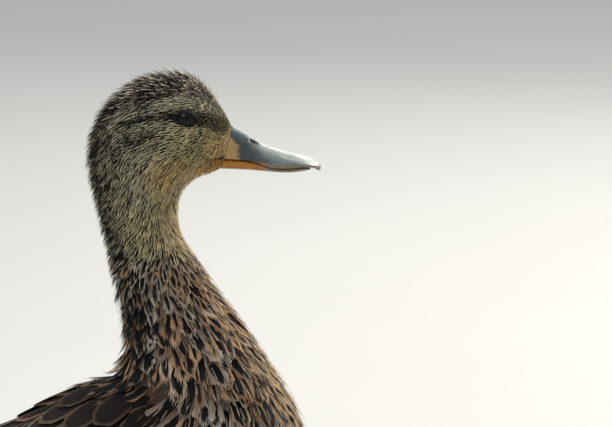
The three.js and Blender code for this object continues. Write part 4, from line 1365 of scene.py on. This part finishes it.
def leg_tone(points, plates):
    wear = stretch(patches(points[..., 0] / 4 + 9, points[..., 2] / 4 + points[..., 1] / 5))
    tone = mix(LEG_ORANGE, LEG_DARK, 0.35 * wear)
    return mix(tone, LEG_DARK, 0.55 * (1 - plates) * 0.7)


def on_toe(toe, run):
    turn = toe[1] + SPLAY
    return FOOT[0] + math.cos(turn) * run, STANCE + math.sin(turn) * run


claws = Flesh()
shank_coat = Coat("coat_shanks")
for mirror in (1, -1):
    def part(points, tones, look=SCALES, caps=(True, True), piece=flesh, turned=False):
        piece.add(points * (1, mirror, 1), tones, look, (mirror < 0) != turned, caps)

    # tarsus
    (ankle_x, ankle_z), (foot_x, foot_z) = ANKLE, FOOT
    rows = [(ankle_x + (foot_x - ankle_x) * t, STANCE, ankle_z + (foot_z - ankle_z) * t, fore, wide)
            for t, fore, wide in TARSUS]
    points, plates = plated(tube(rows, 84, 28), 2.3, 1, 0.28, 0.45)
    part(points, leg_tone(points, plates))

    # toes with their claws
    for toe in TOES:
        word, turn, size, thick = toe
        hind = word == "hind"
        radius = CLAW_RADIUS * (0.7 if hind else 1)
        rows = []
        for k, t in enumerate((0, 0.2, 0.4, 0.56, 0.72, 0.86, 0.95, 1)):
            r = thick * (1.12 - 0.5 * t) * (1.12 if k % 2 == 0 else 1)
            if t == 1:  # the toe narrows to its claw
                r = radius * 1.15
            high = 5 * (1 - t) + r * 0.7 if hind else r * 0.8 + 1.6 * (1 - t) ** 3
            rows.append((*on_toe(toe, size * t), high, r, r * 1.1))
        wide = (-math.sin(turn + SPLAY), math.cos(turn + SPLAY), 0)
        made = tube(rows, max(int(size * 2.2), 20), 20, wide)
        points, plates = plated(made, 1.7, -1 if made[1][5, 5, 2] < 0 else 1, 0.2, 0.4)
        points[..., 2] = np.maximum(points[..., 2], FLOOR_GAP)
        part(points, leg_tone(points, plates))
        rows = []
        for t in (-0.25, 0, 0.5, 0.8, 1):
            far = max(t, 0)
            r = radius * (1 - 0.78 * far ** 1.2)
            place = on_toe(toe, size + 0.35 + t * CLAW_LENGTH * radius / CLAW_RADIUS)
            rows.append((*place, radius * (1.25 - 0.75 * far ** 2), r, r * 0.85))
        tones = mix(CLAW_DARK, CLAW_PALE, np.linspace(0, 1, 14))[:, None]
        part(tube(rows, 14, 14, wide)[0], tones, 0, piece=claws)

    # webs
    for first, second in ((TOES[0], TOES[1]), (TOES[1], TOES[2])):
        p, q = np.linspace(0.04, 1, 36)[:, None], np.linspace(0, 1, 29)[None]
        a, b = (np.array([on_toe(toe, toe[2] * 0.93 * t) for t in (0, 1)]) for toe in (first, second))
        reach = p * (1 - 0.1 * 4 * q * (1 - q))
        flat = a[0] + ((a[1] - a[0]) * (1 - q[..., None]) + (b[1] - b[0]) * q[..., None]) * reach[..., None]
        folds = np.sin(q * 26 + 3 * patches(p * 5, q * 4)) * 0.5 + 0.5
        creases = np.sin(p * 60 + 5 * patches(q * 6, p * 3 + 20)) * 0.5 + 0.5
        high = 1.75 - 0.45 * (4 * q * (1 - q)) + 0.14 * folds * p + 0.08 * creases
        low = np.full(high.shape, 0.45)
        edge, middle, half = flat[-1:], (high[-1:] + low[-1:]) / 2, (high[-1:] - low[-1:]) / 2
        for out, thick in ((0.3, 0.6), (0.45, 0.0)):  # its front edge is rounded off
            flat = np.concatenate([flat, edge + unit(edge - a[0]) * out])
            high = np.concatenate([high, middle + half * thick])
            low = np.concatenate([low, middle - half * thick])
        upper, lower = (np.concatenate([flat, level[..., None]], -1) for level in (high, low))
        ring = np.concatenate([upper, lower[:, ::-1]], 1)
        wear = stretch(patches(ring[..., 0] / 2.5, ring[..., 1] / 2.5))
        part(ring, mix(WEB_TONE, LEG_DARK, 0.5 * wear), caps=(True, False), turned=True)
    polar, turn_a = grid_of(np.linspace(0.05, math.pi - 0.05, 20), circle(28))
    pad = stacked(
        foot_x - 0.6 + 5.0 * np.sin(polar) * np.cos(turn_a), STANCE + 4.3 * np.cos(polar),
        np.maximum(3.4 + 4.0 * np.sin(polar) * np.sin(turn_a), FLOOR_GAP),
    )
    part(pad, leg_tone(pad, np.full(pad.shape[:2], 0.7)))

    # feathered shank
    rings, sides = 60, 48
    points, out, _, _ = tube(SHANK, rings, sides)
    sleeve = Sheet(points)
    if (sleeve.grid[30, 0, 3:6] * out[30, 0]).sum() < 0:
        sleeve = Sheet(points, turned=-1)
    part(points - out * np.linspace(3.4, 0.6, rings)[:, None, None], (0.16, 0.12, 0.085), DOWN)
    i, j = spread(sleeve, 6, rings - 2, lambda a, b: np.interp(a, [0, rings - 1], [6.0, 2.6]))
    share, n = i / (rings - 1), len(i)
    looks = {
        "mid": mix((0.15, 0.105, 0.075), (0.07, 0.05, 0.038), rng.random(n)),
        "rim": mix(PALE_BELLY, (0.36, 0.27, 0.18), rng.random(n)),
        "form": stacked(0.38 + 0.2 * rng.random(n), 0, rng.random(n)),
    }
    length, half, root = (np.interp(share, [0, 1], ends) for ends in ((15.0, 5.0), (4.6, 1.7), (3.6, 0.8)))
    way, top = rng.normal(0, 0.08, n), rng.uniform(-0.6, 0.1, n)
    verts = grow(sleeve, i, j, length, half, way, root, top, LOOSE[0])
    patch = stacked(j / sides * 0.5 + (0 if mirror > 0 else 0.5), share)
    shank_coat.add(verts, LOOSE[0], looks, patch, mirror < 0)
shank_coat.make(loose_look)

n = Nodes("leg_scales")
spot = n.spot()
cells = n.make("TexVoronoi", {"Vector": spot, "Scale": 900.0}, feature="DISTANCE_TO_EDGE")
cloud = n.noise(spot, 300.0, 4.0)
groove = n.ramp(cells, 0.0, 0.16)
n.bump(groove + cloud * 0.6, 0.45, 0.0004)
leg_look = n.finish(n.lit((groove * 0.35 + cloud * 0.9).scaled(0.8, 0.42)), cloud.scaled(0.3, 0.32), 0.4)

claw_look = grained("claw_horn", 1200, times=0.9, plus=0.55, rough=0.35, specular=0.5, bump=(0.2, 0.0003))
claw_piece = claws.make("claws", [claw_look])
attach(claw_piece, "root")
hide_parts(*[f"claw_{toe[0]}_{word}" for toe in TOES for word in ("left", "right")])

skin = flesh.make("skin", [skin_look, bare_look, leg_look])
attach(skin, "root")
legs = [f"{part}_{word}" for part in ("shank", "tarsus", "foot") for word in ("left", "right")]
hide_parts("head", "neck", "trunk", *legs)

# ---------------------------------------------------------------- camera, floor and light
MM_PER_PIXEL, PICTURE_WIDTH = 0.54, 612
ELEVATION = math.radians(10)
DISTANCE = 2.5


def stand(name, data, place, way):
    """A camera or a lamp at a place, looking along way."""
    made = bpy.data.objects.new(name, data)
    made.location = place
    made.rotation_mode = "QUATERNION"
    made.rotation_quaternion = way.to_track_quat("-Z", "Y")
    bpy.context.scene.collection.objects.link(made)
    return made


camera_data = bpy.data.cameras.new("camera")
camera_data.sensor_width = 36
camera_data.lens = 36 * DISTANCE / (PICTURE_WIDTH * MM_PER_PIXEL * MM)
camera_data.clip_end = 100
aim = Vector(((182.2 + shift) * MM, 0, 285 * MM))
back = Vector((0, -math.cos(ELEVATION), math.sin(ELEVATION)))
bpy.context.scene.camera = stand("camera", camera_data, aim + back * DISTANCE, -back)

reach = 30000
corners = [(-reach, -reach, 0), (reach, -reach, 0), (reach, reach, 0), (-reach, reach, 0)]
floor = mesh_of("floor", corners, [np.array([[0, 1, 2, 3]])], flat=True)
n = Nodes("floor")
spot = n.spot()
near = n.blend((0.52, 0.52, 0.505), (0.56, 0.56, 0.545), n.noise(spot, 2.0))
away = n.make("VectorMath", {0: spot}, "Value", operation="LENGTH")
# from 1.2 m out the floor is painted lighter, nearly white by 7 m: painted light for the far floor, which the
# lamps barely reach
floor.data.materials.append(n.finish(n.blend(near, (0.93, 0.93, 0.93), n.ramp(away, 1.2, 7.0)), 0.9, 0.1))
floor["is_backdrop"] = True

world = bpy.data.worlds.new("studio")
world.use_nodes = True
background = world.node_tree.nodes["Background"]
background.inputs["Color"].default_value = (0.86, 0.90, 0.95, 1)
background.inputs["Strength"].default_value = 0.5
bpy.context.scene.world = world
LAMPS = [  # name, place, size, power, colour
    ("key", (1.9, 1.1, 1.7), 1.0, 75, (1.0, 0.95, 0.86)),
    ("fill", (-1.2, -2.2, 1.9), 1.2, 24, (0.93, 0.97, 1.0)),
    ("top", (-0.4, 0.3, 2.4), 1.4, 22, (1.0, 0.98, 0.95)),
    ("rim", (0.7, 2.0, 1.1), 1.0, 7, (1.0, 0.99, 0.96)),
]
for name, place, size, power, colour in LAMPS:
    lamp = bpy.data.lights.new(name, "AREA")
    lamp.size, lamp.energy, lamp.color = size, power, colour
    stand(name, lamp, place, Vector((0.03, 0, 0.22)) - Vector(place))
bpy.context.scene.view_settings.view_transform = "Standard"

low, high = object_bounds()
